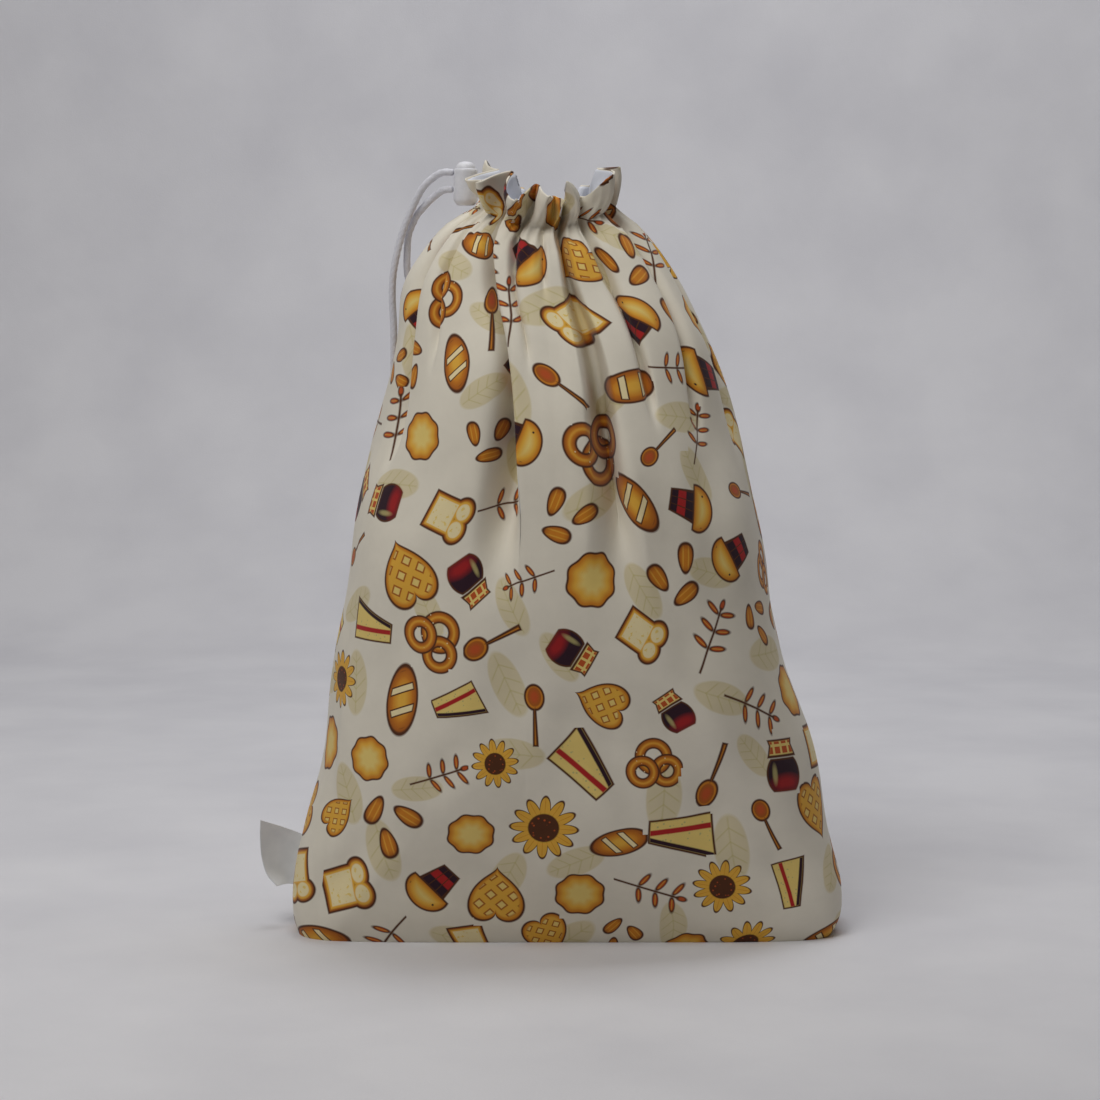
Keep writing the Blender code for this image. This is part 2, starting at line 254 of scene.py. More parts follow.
def noise(tree, at, scale, detail=2.0, roughness=0.5):
    node = tree.nodes.new("ShaderNodeTexNoise")
    node.inputs["Scale"].default_value = scale
    node.inputs["Detail"].default_value = detail
    node.inputs["Roughness"].default_value = roughness
    tree.links.new(at, node.inputs["Vector"])
    return Value(tree, node.outputs["Fac"])


def dots(tree, at, scale):
    """Distance to the nearest of scattered points, in cells."""
    node = tree.nodes.new("ShaderNodeTexVoronoi")
    node.inputs["Scale"].default_value = scale
    tree.links.new(at, node.inputs["Vector"])
    return Value(tree, node.outputs["Distance"])


def shader(tree):
    return tree.nodes["Principled BSDF"]


def new_material(name, base, roughness):
    made = bpy.data.materials.new(name)
    made.use_nodes = True
    surface = shader(made.node_tree)
    surface.inputs["Base Color"].default_value = (*base, 1)
    surface.inputs["Roughness"].default_value = roughness
    made.diffuse_color = (*base, 1)
    return made


def colour(tree, layers, base):
    """Paints the layers, each a cover and a colour, one over the other on the base colour."""
    below = None
    for cover, paint in layers:
        mix = tree.nodes.new("ShaderNodeMix")
        mix.data_type = "RGBA"
        tree.links.new(cover.socket, mix.inputs["Factor"])
        under, over = [s for s in mix.inputs if s.type == "RGBA"]
        if below is None:
            under.default_value = (*base, 1)
        else:
            tree.links.new(below, under)
        over.default_value = (*paint, 1)
        below = [s for s in mix.outputs if s.type == "RGBA"][0]
    tree.links.new(below, shader(tree).inputs["Base Color"])
    return below


def cloudy_material(name, base, shade, roughness, cloud, sheen=0.0):
    """A material that goes from its base to its shade in clouds.

    cloud is the noise's scale and detail, and the two values that the shade grows between. The
    material is given with its tree, its coordinates and the noise.
    """
    scale, detail, low, high = cloud
    made = new_material(name, base, roughness)
    tree = made.node_tree
    at = coordinates(tree)
    value = noise(tree, at, scale, detail)
    colour(tree, [(value.smooth(low, high), shade)], base)
    shader(tree).inputs["Sheen Weight"].default_value = sheen
    return made, tree, at, value


def bump(tree, height, strength, distance):
    node = tree.nodes.new("ShaderNodeBump")
    node.inputs["Strength"].default_value = strength
    node.inputs["Distance"].default_value = distance
    tree.links.new(height.socket, node.inputs["Height"])
    tree.links.new(node.outputs[0], shader(tree).inputs["Normal"])


# The motifs of the print.
# Each motif is drawn in its own square, x and y from -1 to 1, as distances that are negative
# inside a shape. It gives its layers from the lowest up, each a cover and a colour.

LINE = 0.055
# The threads of the cloths, as the radians that a sine wave runs through over a metre.
COTTON_THREADS = 9000.0
LINING_THREADS = 13000.0
SATIN_RIBS = 14000.0


def ellipse(x, y, at, radii):
    """About the distance to an ellipse: its unit length less 1, times the smaller radius."""
    return (length((x - at[0]) / radii[0], (y - at[1]) / radii[1]) - 1.0) * min(radii)


def block(x, y, at, half):
    return (abs(x - at[0]) - half[0]) & (abs(y - at[1]) - half[1])


def turned_by(x, y, degrees):
    c, s = math.cos(math.radians(degrees)), math.sin(math.radians(degrees))
    return x * c + y * s, y * c - x * s


def outlined(shape, fill, edge=UMBER, line=LINE):
    return [(shape.cover(), edge), ((shape + line).cover(), fill)]


def pretzel(x, y):
    """Three ropes of dough, each a ring, laid over each other, with grains of salt."""
    layers = []
    for cx, cy, radius in ((0.0, -0.27, 0.42), (-0.38, 0.2, 0.36), (0.38, 0.2, 0.36)):
        rope = abs(length(x - cx, y - cy) - radius)
        layers += [((rope - 0.17).cover(), UMBER), ((rope - 0.12).cover(), CRUST)]
        layers += [((rope - 0.07).cover(0.08), ORANGE), ((rope - 0.015).cover(0.07), GOLD)]
    salt = dots(x.tree, vector(x, y), 6.0) - 0.13
    return layers + [((salt & (length(x, y) - 0.7)).cover(0.05) * 0.8, CRUMB)]


def toast(x, y):
    """A slice: a block under two wide round shoulders, its crust all round a pale crumb with pores."""
    slice_of = block(x, y, (0, -0.25), (0.56, 0.5)) | ellipse(abs(x), y, (0.26, 0.3), (0.44, 0.34))
    pores = noise(x.tree, vector(x, y), 7.0, 2.0)
    return outlined(slice_of, CRUST) + [
        ((slice_of + 0.1).cover(0.05), GOLD), ((slice_of + 0.16).cover(), CRUMB),
        (pores.smooth(0.58, 0.64) * (slice_of + 0.2).cover(), STRAW),
    ]


def loaf(x, y):
    """A long oval loaf, lighter along its back, with slanting cuts."""
    x, y = turned_by(x, y, 28)
    body = ellipse(x, y, (0, 0), (0.95, 0.46))
    cuts = (x * 0.8 + y * 0.5).wave(2.1)
    return outlined(body, CRUST) + [
        ((body + 0.13).cover(0.14), ORANGE), ((body + 0.27).cover(0.2), GOLD),
        (((cuts - 0.2) & (body + 0.1)).cover(), UMBER), (((cuts - 0.13) & (body + 0.13)).cover(), CRUMB),
    ]


def sprig(x, y):
    """A stem with pairs of leaves that slant upwards."""
    side = abs(x)
    u = side - 0.24
    v = ((y * 2.3).do("FRACT") - 0.5) / 2.3 - side * 0.35 + 0.08
    leaf = ellipse(u, v, (0, 0), (0.23, 0.085)) & block(x, y, (0, 0.2), (0.6, 0.65))
    tip = ellipse(x, y, (0, 0.82), (0.08, 0.15))
    stem = block(x, y, (0, -0.1), (0.028, 0.85))
    vein = (abs(v) - 0.008) & (leaf + 0.04)
    return outlined(leaf | tip, RUST, UMBER, 0.03) + [(vein.cover(), GOLD), (stem.cover(), UMBER)]


def spoon(x, y):
    """A wooden spoon: a slim handle, an oval bowl and its hollow."""
    x, y = turned_by(x, y, -18)
    handle = (abs(x) - 0.055 - (y * -0.03)) & (abs(y + 0.35) - 0.6)
    bowl = ellipse(x, y, (0, 0.5), (0.29, 0.4))
    hollow = ellipse(x, y, (0, 0.52), (0.19, 0.28))
    grain = (abs(x - 0.02) - 0.008) & (handle + 0.03)
    return outlined(handle | bowl, ORANGE) + [
        (hollow.cover(), CRUST), ((hollow + 0.07).cover(0.1), RUST), (grain.cover(), UMBER),
    ]


def muffin(x, y):
    """A domed cake in a pleated dark case with a red band."""
    cap = ellipse(x, y, (0, 0.16), (0.72, 0.56)) & (-y - 0.02)
    case = (abs(x) - 0.5 - y * 0.22) & (abs(y + 0.38) - 0.42)
    pleats = (x / (y * 0.35 + 1.0)).wave(3.6)
    fruit = dots(x.tree, vector(x, y), 3.4) - 0.17
    return outlined(case, PLUM) + [
        (((abs(y + 0.42) - 0.13) & (case + LINE)).cover(), RED),
        (((pleats - 0.06) & (case + LINE)).cover(), UMBER),
    ] + outlined(cap, ORANGE) + [
        ((cap + 0.14).cover(0.12), GOLD), ((cap + 0.28).cover(0.16), STRAW),
        ((fruit & (cap + 0.12)).cover(0.05), PLUM),
    ]


def cookie(x, y):
    """A round biscuit with a wavy edge and dark drops."""
    wave = (y.do("ARCTAN2", x) * 8.0).do("SINE") * 0.025
    body = length(x, y) - 0.68 - wave
    drops = dots(x.tree, vector(x, y), 2.7) - 0.2
    return outlined(body, ORANGE) + [
        ((body + 0.16).cover(0.14), GOLD), ((body + 0.34).cover(0.2), STRAW),
        ((drops & (body + 0.12)).cover(0.05), UMBER),
    ]


def waffle(x, y):
    """A heart with a slanting grid pressed into it."""
    side = abs(x)
    heart = length(x, y + 0.16 - side.do("SQRT") * 0.55) - 0.68
    pits = ((x + y + 0.13).wave(1.9) & (x - y + 0.13).wave(1.9)) - 0.3
    return outlined(heart, ORANGE) + [
        ((heart + 0.12).cover(0.08), GOLD), ((pits & (heart + 0.14)).cover(0.05), CRUST),
        (((pits + 0.1) & (heart + 0.16)).cover(0.05), STRAW),
    ]


def seed_flower(x, y):
    """Twelve petals round a dark disc of seeds."""
    round_it = y.do("ARCTAN2", x)
    petals = length(x, y) - 0.5 - abs((round_it * 6.0).do("COSINE")) * 0.32
    disc = length(x, y) - 0.36
    seeds = dots(x.tree, vector(x, y), 9.0) - 0.22
    ribs = abs((round_it * 12.0).do("SINE")) - 0.2
    return outlined(petals, GOLD) + [
        ((ribs & (petals + 0.1)).cover(0.1) * 0.6, ORANGE), (disc.cover(), UMBER),
        ((seeds & (disc + 0.06)).cover(0.08), RUST),
    ]


def jam_jar(x, y):
    """A squat jar of dark jam under a red and straw cloth cap tied with a string."""
    jar = ellipse(x, y, (0, -0.26), (0.56, 0.6)) & (abs(y + 0.28) - 0.44)
    cap = (abs(x) - 0.4 - abs(y - 0.5) * 0.3) & (abs(y - 0.42) - 0.24)
    shine = ellipse(x, y, (-0.3, -0.25), (0.07, 0.24))
    checks = (x.wave(4.0) & y.wave(4.0)) - 0.36
    return outlined(jar, PLUM) + [
        ((ellipse(x, y, (0.05, -0.5), (0.4, 0.2)) & (jar + LINE)).cover(0.2) * 0.8, RED),
        (shine.cover(0.06) * 0.7, KHAKI),
    ] + outlined(cap, STRAW) + [
        ((checks & (cap + LINE)).cover(0.04), RUST), (((abs(y - 0.22) - 0.03) & (cap + 0.02)).cover(), UMBER),
    ]


def almonds(x, y):
    """Three almonds lying apart, each an oval drawn out to a point, with fine lines along it."""
    layers = []
    for cx, cy, degrees in ((-0.42, -0.3, 62), (0.42, -0.18, 100), (-0.05, 0.5, 15)):
        u, v = turned_by(x - cx, y - cy, degrees)
        nut = ellipse(u, v * (u * 0.9 + 1.3), (0, 0), (0.4, 0.28))
        layers += outlined(nut, CRUST) + [((nut + 0.1).cover(0.1), ORANGE)]
        layers += [(((v.wave(7.0) - 0.12) & (nut + 0.09)).cover(0.1) * 0.6, GOLD)]
    return layers


def cake_slice(x, y):
    """A wedge seen from the side: a rounded back, a pale filling between two layers."""
    top = (y * 0.9 + x * 0.36) - 0.42
    wedge = top & (-y - 0.46) & (-x - 0.82) & ((x - y * 0.1) - 0.8)
    filling = abs(y + 0.12) - 0.07
    pores = dots(x.tree, vector(x, y), 8.0) - 0.2
    return outlined(wedge, STRAW) + [
        ((pores & (wedge + 0.08)).cover(0.08), KHAKI), ((filling & (wedge + LINE)).cover(), RED),
        (((-top - 0.16) & (wedge + LINE)).cover(), PLUM),
    ]


MOTIFS = (
    pretzel, loaf, sprig, cookie, jam_jar, toast, spoon, seed_flower, waffle, muffin, almonds, cake_slice,
)
# The order in which the motifs follow each other along the print's rows, as numbers into MOTIFS.
ORDER = (0, 6, 1, 2, 5, 9, 8, 10, 3, 2, 7, 1, 11, 0, 6, 8, 4, 5, 2, 3, 10, 1, 9)


def ghost_leaf(x, y):
    """A pale broad leaf without an outline: an oval with slanting veins."""
    leaf = ellipse(x, y, (0, 0), (0.46, 0.94))
    veins = (abs(x) * 0.8 + y).wave(2.6)
    return [
        (leaf.cover(0.05) * 0.75, GHOST),
        (((veins - 0.07) & (leaf + 0.06)).cover(0.08) * 0.5, KHAKI),
        (((abs(x) - 0.02) & (leaf + 0.04)).cover(0.04) * 0.5, KHAKI),
    ]


def square_of(tree, place, name):
    """A motif's own x and y at a place on the cloth, from the numbers that its faces carry."""
    u, v, _ = split(tree, place)
    cu, cv, half = split(tree, attribute(tree, name + "_place"))
    cosine, sine, _ = split(tree, attribute(tree, name + "_turn"))
    du, dv = (u - cu) / half, (v - cv) / half
    return du * cosine + dv * sine, dv * cosine - du * sine


def cotton(name, motif=None):
    """Plain-weave cotton: cream, with the pale leaves and at most one motif on each face."""
    made = new_material(name, CREAM, 0.86)
    tree = made.node_tree
    lengths = tree.nodes.new("ShaderNodeUVMap")
    lengths.uv_map = "cloth"
    place = lengths.outputs[0]
    layers = ghost_leaf(*square_of(tree, place, "leaf"))
    if motif:
        layers += motif(*square_of(tree, place, "motif"))
    washed = noise(tree, place, 55.0, 3.0, 0.6)
    base = colour(tree, layers, CREAM)
    hue = tree.nodes.new("ShaderNodeHueSaturation")
    tree.links.new(base, hue.inputs["Color"])
    tree.links.new((washed * 0.16 + 0.92).socket, hue.inputs["Value"])
    tree.links.new(hue.outputs[0], shader(tree).inputs["Base Color"])
    u, v, _ = split(tree, place)
    weave = (u * COTTON_THREADS).do("SINE") * (v * COTTON_THREADS).do("SINE")
    slub = noise(tree, place, 900.0, 2.0)
    bump(tree, weave * 0.35 + slub, 0.35, 0.00012)
    surface = shader(tree)
    surface.inputs["Sheen Weight"].default_value = 0.12
    surface.inputs["Sheen Roughness"].default_value = 0.5
    surface.inputs["Specular IOR Level"].default_value = 0.25
    return made


# Meshes.

def shade_smooth(data):
    data.polygons.foreach_set("use_smooth", np.ones(len(data.polygons), bool))


def mesh_object(name, points, faces):
    data = bpy.data.meshes.new(name)
    data.from_pydata((np.asarray(points) * MM).tolist(), [], faces)
    shade_smooth(data)
    made = bpy.data.objects.new(name, data)
    bpy.context.scene.collection.objects.link(made)
    return made


def grid_faces(rows, ring, closed):
    """The quads of a grid, each row's points running round; closed joins the last to the first."""
    r, c = np.meshgrid(np.arange(rows - 1), np.arange(ring if closed else ring - 1), indexing="ij")
    d = (c + 1) % ring
    corners = [r * ring + c, r * ring + d, (r + 1) * ring + d, (r + 1) * ring + c]
    return np.stack(corners, axis=2).reshape(-1, 4)


def grid_object(name, grid, closed=True, caps=False):
    """A surface from a grid of points; caps closes its first and last rings to their middles."""
    rows, ring = grid.shape[:2]
    points = grid.reshape(-1, 3)
    faces = grid_faces(rows, ring, closed).tolist()
    if caps:
        points = np.concatenate([points, [grid[0].mean(axis=0), grid[-1].mean(axis=0)]])
        c = np.arange(ring)
        d = (c + 1) % ring
        low, high = rows * ring, rows * ring + 1
        last = (rows - 1) * ring
        faces += np.stack([d, c, np.full(ring, low)], axis=1).tolist()
        faces += np.stack([last + c, last + d, np.full(ring, high)], axis=1).tolist()
    return mesh_object(name, points, faces)


def whole_turn(steps):
    """Even angles round a whole turn."""
    return np.linspace(0, 2 * math.pi, steps, endpoint=False)


def turned(name, profile, at):
    """A profile of radius and height, turned about an upright axis, from its low to its high end."""
    profile = np.array(profile, float)
    angle = whole_turn(LATHE_STEPS)
    radius, height = profile[:, :1], profile[:, 1:]
    x = at[0] + radius * np.cos(angle)
    y = at[1] + radius * np.sin(angle)
    z = np.broadcast_to(height, x.shape)
    return grid_object(name, np.stack([x, y, z], axis=2), caps=True)


def smooth_between(at, knots, values):
    """A cubic through the knots whose slope at each knot is the slope between its neighbours."""
    knots, values = np.asarray(knots, float), np.asarray(values, float)
    slope = np.gradient(values, knots)
    i = np.clip(np.searchsorted(knots, at, side="right") - 1, 0, len(knots) - 2)
    wide = knots[i + 1] - knots[i]
    t = (at - knots[i]) / wide
    rise = (2 * t**3 - 3 * t**2 + 1) * values[i] + (3 * t**2 - 2 * t**3) * values[i + 1]
    return rise + wide * ((t**3 - 2 * t**2 + t) * slope[i] + (t**3 - t**2) * slope[i + 1])


def walked_along(line):
    """The length walked from a line's start to each of its points."""
    return np.concatenate([[0], np.cumsum(np.linalg.norm(np.diff(line, axis=0), axis=1))])


def smooth_route(points, spacing):
    """Even points along a smooth curve through the route's own points."""
    points = np.array(points, float)
    fine = np.linspace(0, len(points) - 1, FINE_STEPS * len(points))
    curve = np.stack([smooth_between(fine, np.arange(len(points)), p) for p in points.T], axis=1)
    walked = walked_along(curve)
    even = np.linspace(0, walked[-1], int(round(walked[-1] / spacing)) + 1)
    return np.stack([np.interp(even, walked, p) for p in curve.T], axis=1)


# The cord and its lock.

LOCK_X = -47.8
LOCK_Y = 3.8
CORD_DIAMETER = 3.4
CORD_STEP = 0.8
CORD_SIDES = 20
# A direction that no stretch of a cord takes, to set its rings by.
CORD_ACROSS = (0.3, -0.8, 0.52)
CORD_IN_HOLE = 0.9
FINE_STEPS = 12
PLAIT_LENGTH = 7.0
PLAIT_DEPTH = 0.14
PLAIT_RAISE = 1.6
TIP_LENGTH = 0.6
TIP_BLUNT = 0.25
CORD_FRONT = (
    (-54.1, 3.8, 362.7), (-58.3, 4.1, 362.8), (-62.5, 6.5, 361), (-67.2, 8, 357), (-70.5, 10, 352.4),
    (-74, 12, 345.4), (-77.9, 14, 336.4), (-81, 16, 326), (-83.3, 18, 314.5), (-83.9, 20, 302.5),
    (-83.5, 24, 285.4), (-84.5, 33, 250), (-87, 43.5, 220), (-87, 53, 190), (-85.8, 60, 160),
    (-85.2, 64.2, 138), (-85.4, 66, 127.9),
)
CORD_REAR = (
    (-54.5, 3.8, 354.8), (-58.3, 4.5, 354.5), (-62.4, 8.5, 352), (-65.8, 11, 349.2), (-68.4, 13.5, 346.6),
    (-71.5, 15.5, 343.2), (-73.6, 17, 339.4), (-75.8, 18.5, 333.8), (-76.6, 20, 326), (-76.6, 22, 315),
    (-74.5, 27, 303), (-75.3, 33, 285), (-78.6, 42, 250), (-81, 51.5, 220), (-81, 60, 190),
    (-79, 65, 160), (-80, 67.2, 140), (-81.2, 67.2, 127.9),
)
KNOT_AT = (-83.3, 66.5, 122.0)
KNOT_TURN = 1.75
KNOT_HEIGHT = 0.85
KNOT_DEPTH = 1.15
KNOT_STEPS = 120
TAIL_LENGTH = 14.0
TAIL_SPREAD = 14.0
TAIL_STEPS = 24
TAIL_ROOT = (1.6, 0, -3.0)
TAIL_BACK = 0.05
TAIL_BOW = 0.8


def tube(name, line, closed=False):
    """A braided cord along a line: a circle carried along it, raised where the strands cross over.

    The raise is the product of two waves that run round the cord in opposite ways, and both
    ends are drawn in to a rounded tip.
    """
    line = np.asarray(line, float)
    if closed:
        along = np.roll(line, -1, axis=0) - np.roll(line, 1, axis=0)
    else:
        along = np.gradient(line, axis=0)
    along /= np.linalg.norm(along, axis=1, keepdims=True)
    up = np.cross(along, CORD_ACROSS)
    up /= np.linalg.norm(up, axis=1, keepdims=True)
    side = np.cross(along, up)
    walked = walked_along(line)
    angle = whole_turn(CORD_SIDES)
    turn = walked[:, None] / PLAIT_LENGTH * 2 * math.pi
    strands = np.abs(np.sin(2 * angle + turn)) * np.abs(np.sin(2 * angle - turn))
    wide = CORD_DIAMETER / 2 * (1 - PLAIT_DEPTH + PLAIT_DEPTH * PLAIT_RAISE * np.sqrt(strands))
    if not closed:
        from_end = np.minimum(walked, walked[-1] - walked)[:, None]
        wide = wide * np.sqrt(np.clip(from_end / TIP_LENGTH + TIP_BLUNT, 0, 1))
    ring = np.cos(angle)[None, :, None] * up[:, None] + np.sin(angle)[None, :, None] * side[:, None]
    grid = line[:, None] + ring * wide[:, :, None]
    if closed:
        grid = np.concatenate([grid, grid[:1]])
    made = grid_object(name, grid, caps=not closed)
    made.data.materials.append(bpy.data.materials["braided_cotton"])
    return made


def cord_material():
    _, tree, _, fibres = cloudy_material(
        "braided_cotton", CORD_WHITE, CORD_SHADE, 0.8, (2600.0, 3.0, 0.3, 0.75), sheen=0.3
    )
    bump(tree, fibres, 0.5, 0.0002)


def plastic_material():
    made, tree, at, cloud = cloudy_material(
        "white_plastic", PLASTIC_WHITE, PLASTIC_SHADE, 0.4, (320.0, 3.0, 0.35, 0.8)
    )
    bump(tree, noise(tree, at, 3200.0, 2.0), 0.15, 0.0001)
    tree.links.new((cloud * 0.2 + 0.34).socket, shader(tree).inputs["Roughness"])
    shader(tree).inputs["Subsurface Weight"].default_value = 0.15
    shader(tree).inputs["Subsurface Radius"].default_value = (0.002, 0.002, 0.002)
    return made


def overhand():
    """The line of a tied knot: a circle's turn plus twice its double turn, crossing itself thrice."""
    t = whole_turn(KNOT_STEPS)
    x = KNOT_TURN * (np.sin(t) + 2 * np.sin(2 * t))
    z = KNOT_TURN * KNOT_HEIGHT * (np.cos(t) - 2 * np.cos(2 * t))
    y = -KNOT_TURN * KNOT_DEPTH * np.sin(3 * t)
    return np.stack([x, y, z], axis=1) + KNOT_AT


def cords():
    cord_material()
    knot = tube("cord_knot_tied", overhand(), closed=True)
    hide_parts("cord_knot")
    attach(knot, "bag")
    tails = []
    lean = math.radians(TAIL_SPREAD)
    drop = np.linspace(0, 1, TAIL_STEPS)[:, None]
    for name, side in (("cord_tail_left", -1), ("cord_tail_right", 1)):
        start = np.array(KNOT_AT) + np.array(TAIL_ROOT) * (side, 1, 1)
        way = np.array((side * math.sin(lean), TAIL_BACK, -math.cos(lean)))
        line = start + drop * TAIL_LENGTH * way + np.sin(drop * math.pi) * (side * TAIL_BOW, 0, 0)
        tail = tube(name, line)
        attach(tail, "bag")
        tails.append(tail)
    for name, route, node, more in (
        ("cord_front_braided", CORD_FRONT, "cord_end_front", tails[:1]),
        ("cord_rear_braided", CORD_REAR, "cord_end_rear", tails[1:]),
    ):
        inner = (route[0][0] + CORD_IN_HOLE, *route[0][1:])
        line = smooth_route((inner, *route[1:]), CORD_STEP)
        made = tube(name, line)
        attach(made, "bag")
        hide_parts(node)
        [p * MM for p in inner]
        (line * MM).tolist()


BARREL_PROFILE = (
    (0.5, 347.2), (3.3, 347.2), (3.9, 347.32), (4.4, 347.65), (5.4, 349.1), (5.64, 349.7), (5.7, 350.4),
    (5.7, 357.0), (5.7, 362.6), (5.66, 363.3), (5.54, 363.9), (5.34, 364.3), (5.12, 364.45), (4.98, 364.4),
    (4.92, 364.2), (4.9, 363.7), (4.9, 350.6), (4.7, 350.2), (0.5, 350.2),
)
BUTTON_PROFILE = (
    (0.5, 353.0), (4.2, 353.0), (4.5, 353.15), (4.7, 353.5), (4.75, 363.6), (4.72, 364.4), (4.57, 365.2),
    (4.25, 366.05), (3.7, 366.8), (3.0, 367.35), (2.0, 367.7), (1.1, 367.86), (0.6, 367.9),
)
LATHE_STEPS = 72
HOLE_RADIUS = 1.86
HOLE_STEPS = 32
# Where each hole's drill starts and ends, to the left of the lock's axis.
HOLE_REACH = (-8.0, -4.6)
LOCK_SHARP = 40


def lock():
    """The lock: a cup with two holes through its left wall, and the button in it."""
    plastic = plastic_material()
    barrel = turned("lock_cup", BARREL_PROFILE, (LOCK_X, LOCK_Y))
    x = LOCK_X + np.array(HOLE_REACH)[:, None]
    angle = whole_turn(HOLE_STEPS)
    y = LOCK_Y + HOLE_RADIUS * np.cos(angle)
    for height in (CORD_FRONT[0][2], CORD_REAR[0][2]):
        z = height + HOLE_RADIUS * np.sin(angle)
        drill = grid_object("drill", np.stack(np.broadcast_arrays(x, y, z), axis=2), caps=True)
        cut = barrel.modifiers.new("hole", "BOOLEAN")
        cut.operation = "DIFFERENCE"
        cut.solver = "EXACT"
        cut.object = drill
    apply_all(barrel)
    for old in [o for o in bpy.data.objects if o.name.startswith("drill")]:
        bpy.data.objects.remove(old)
    shade_smooth(barrel.data)
    barrel.data.set_sharp_from_angle(angle=math.radians(LOCK_SHARP))
    button = turned("lock_plunger", BUTTON_PROFILE, (LOCK_X, LOCK_Y))
    for made, node, body in ((barrel, "lock_barrel", "bag"), (button, "lock_button", "button")):
        made.data.materials.clear()
        made.data.materials.append(plastic)
        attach(made, body)
        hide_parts(node)


def apply_all(made):
    """Gives an object the mesh that its modifiers make."""
    shaped = bpy.data.meshes.new_from_object(made.evaluated_get(bpy.context.evaluated_depsgraph_get()))
    made.modifiers.clear()
    made.data = shaped


# The cloth's shape.

# The bag's outline at each height: its height, left, right, front, back and squareness.
SECTIONS = (
    (0, -129, 127.5, -36, 36, 6.0),
    (6, -131, 131, -39, 39, 5.2),
    (24, -131, 133, -46, 45, 3.6),
    (50, -125.5, 125.5, -56, 55, 3.1),
    (80, -118, 119, -66, 65, 2.8),
    (120, -112.5, 109, -75, 74, 2.5),
    (160, -107, 99, -80, 78, 2.35),
    (205, -98.5, 90.5, -80, 76, 2.3),
    (250, -86.5, 77.5, -73, 69, 2.2),
    (285, -78, 65, -62, 59, 2.2),
    (310, -73.5, 52.5, -50, 48, 2.1),
    (328, -61, 39, -43, 42, 2.0),
    (338, -51, 29.5, -37, 37, 2.0),
    (347, -39.3, 23.5, -33, 34, 2.0),
    (358, -40, 24.5, -34, 34, 2.0),
    (375, -41.5, 28, -35, 35, 2.0),
)
FOLD_COLUMNS = (
    "name", "turn_neck", "turn_foot", "late", "foot", "depth_neck", "depth_mid", "mouth_neck",
    "mouth_foot", "lean", "edge", "rim", "lobe", "lobe_x", "lobe_y", "puff", "rim_turn",
)
FOLDS = (
    ("strap_left", -71, -60, 1, 215, 10, 13, 6, 24, 5, 0.8, 17, 12, -8, -8, 4, -9),
    ("strap_inner", -56, -41, 1, 265, 4, 6, 5, 12, 2, 1.0, 14, 12.5, -5, -12, 7, -8),
    ("left_hollow", -41.5, -18, 6, 160, 12, 27, 6, 25, 6.5, 0.75, 22, 8, 0, -11, 5, -4),
    ("flute", -19.5, -6.5, 3, 266, 8, 7, 6, 8, 0, 1.0, 20, 13, 2, -8, 3, 6),
    ("dark_fold", 0, 1.5, 1, 304, 7, 4, 5, 6, 0, 1.0, 14, 12, 2, -7, 2, 4),
    ("front_hollow", 12, 17.5, 1, 160, 13, 29, 5.5, 33, 8.5, 0.75, 11, 20.5, -7, -8, 5, 1),
    ("strap_right_inner", 33, 34, 1, 240, 9, 11, 5.5, 9, 4, 0.8, 10, 18, 2, -8, 5, 0),
    ("strap_right_outer", 64, 45, 1, 235, 11, 13, 7, 12, -4, 0.8, 19, 18.5, -1, -2, 3, 2),
    ("right_shoulder", 87, 68, 1, 225, 12, 13, 8, 26, 2, 0.9, 16, 15, -2, 3, 3, 2),
    ("back_right", 112, 103, 1, 200, 12, 17, 8, 38, 3, 0.9, 18, 16, 4, 4, 3, 0),
    ("back_right_inner", 142, 140, 1, 185, 12, 20, 8, 42, -4, 0.9, 17, 14, 2, 6, 3, 0),
    ("back_middle", 176, 178, 1, 205, 12, 16, 8, 38, 3, 0.9, 14, 16, -1, 6, 3, 0),
    ("back_left_inner", 212, 214, 1, 180, 12, 20, 8, 42, 4, 0.8, 17, 18, -3, 5, 3, 0),
    ("back_left", 248, 250, 1, 195, 12, 16, 8, 38, -3, 0.9, 16, 23, 3, -3, 2, -9),
)
FOOT_OF_FOLDS = 165.0
CORD_LINE = 341.0
SADDLE = 5.5
SADDLE_FROM = 250.0
DEEPEST_AT = 0.45
LEAN_LOST = 0.9
MOUTH_CLOSES = 2.0
CROWN = 0.05
HEADING = 22.0
SLOT_LOST = 0.45
LIP_AT_FOLD = 0.3
LIP_ROUND = 0.85
PINCH = 3.8
PINCH_REACH = 5.5
PUFF_LOW = 0.7
RING_STEPS = 1440
SOFTENED = 4
SOFTENED_RIM = 14

# The small unevenness of the cloth: waves along it, each with its length round, its length up
# (negative where it slants the other way), its phase and its height. MEAN_RADIUS turns a turn
# into a length round. The waves grow over the lowest millimetres and fade towards the neck.
WAVES = (
    (150, 210, 0.4, 0.9), (97, -160, 2.1, 0.7), (210, 90, 4.0, 0.8), (61, 120, 1.2, 0.35),
    (-74, 66, 3.3, 0.3), (43, -95, 5.2, 0.18),
)
MEAN_RADIUS = 95
WAVES_GROW = 40
WAVES_FADE_FROM = 290
WAVES_FADE = 50
WAVES_LOST = 0.75
# The gathers at the cord: ripples round the neck that fade above and below it.
GATHER_LENGTH = 13.0
GATHER_HEIGHT = 0.55
GATHER_REACH = 15.0
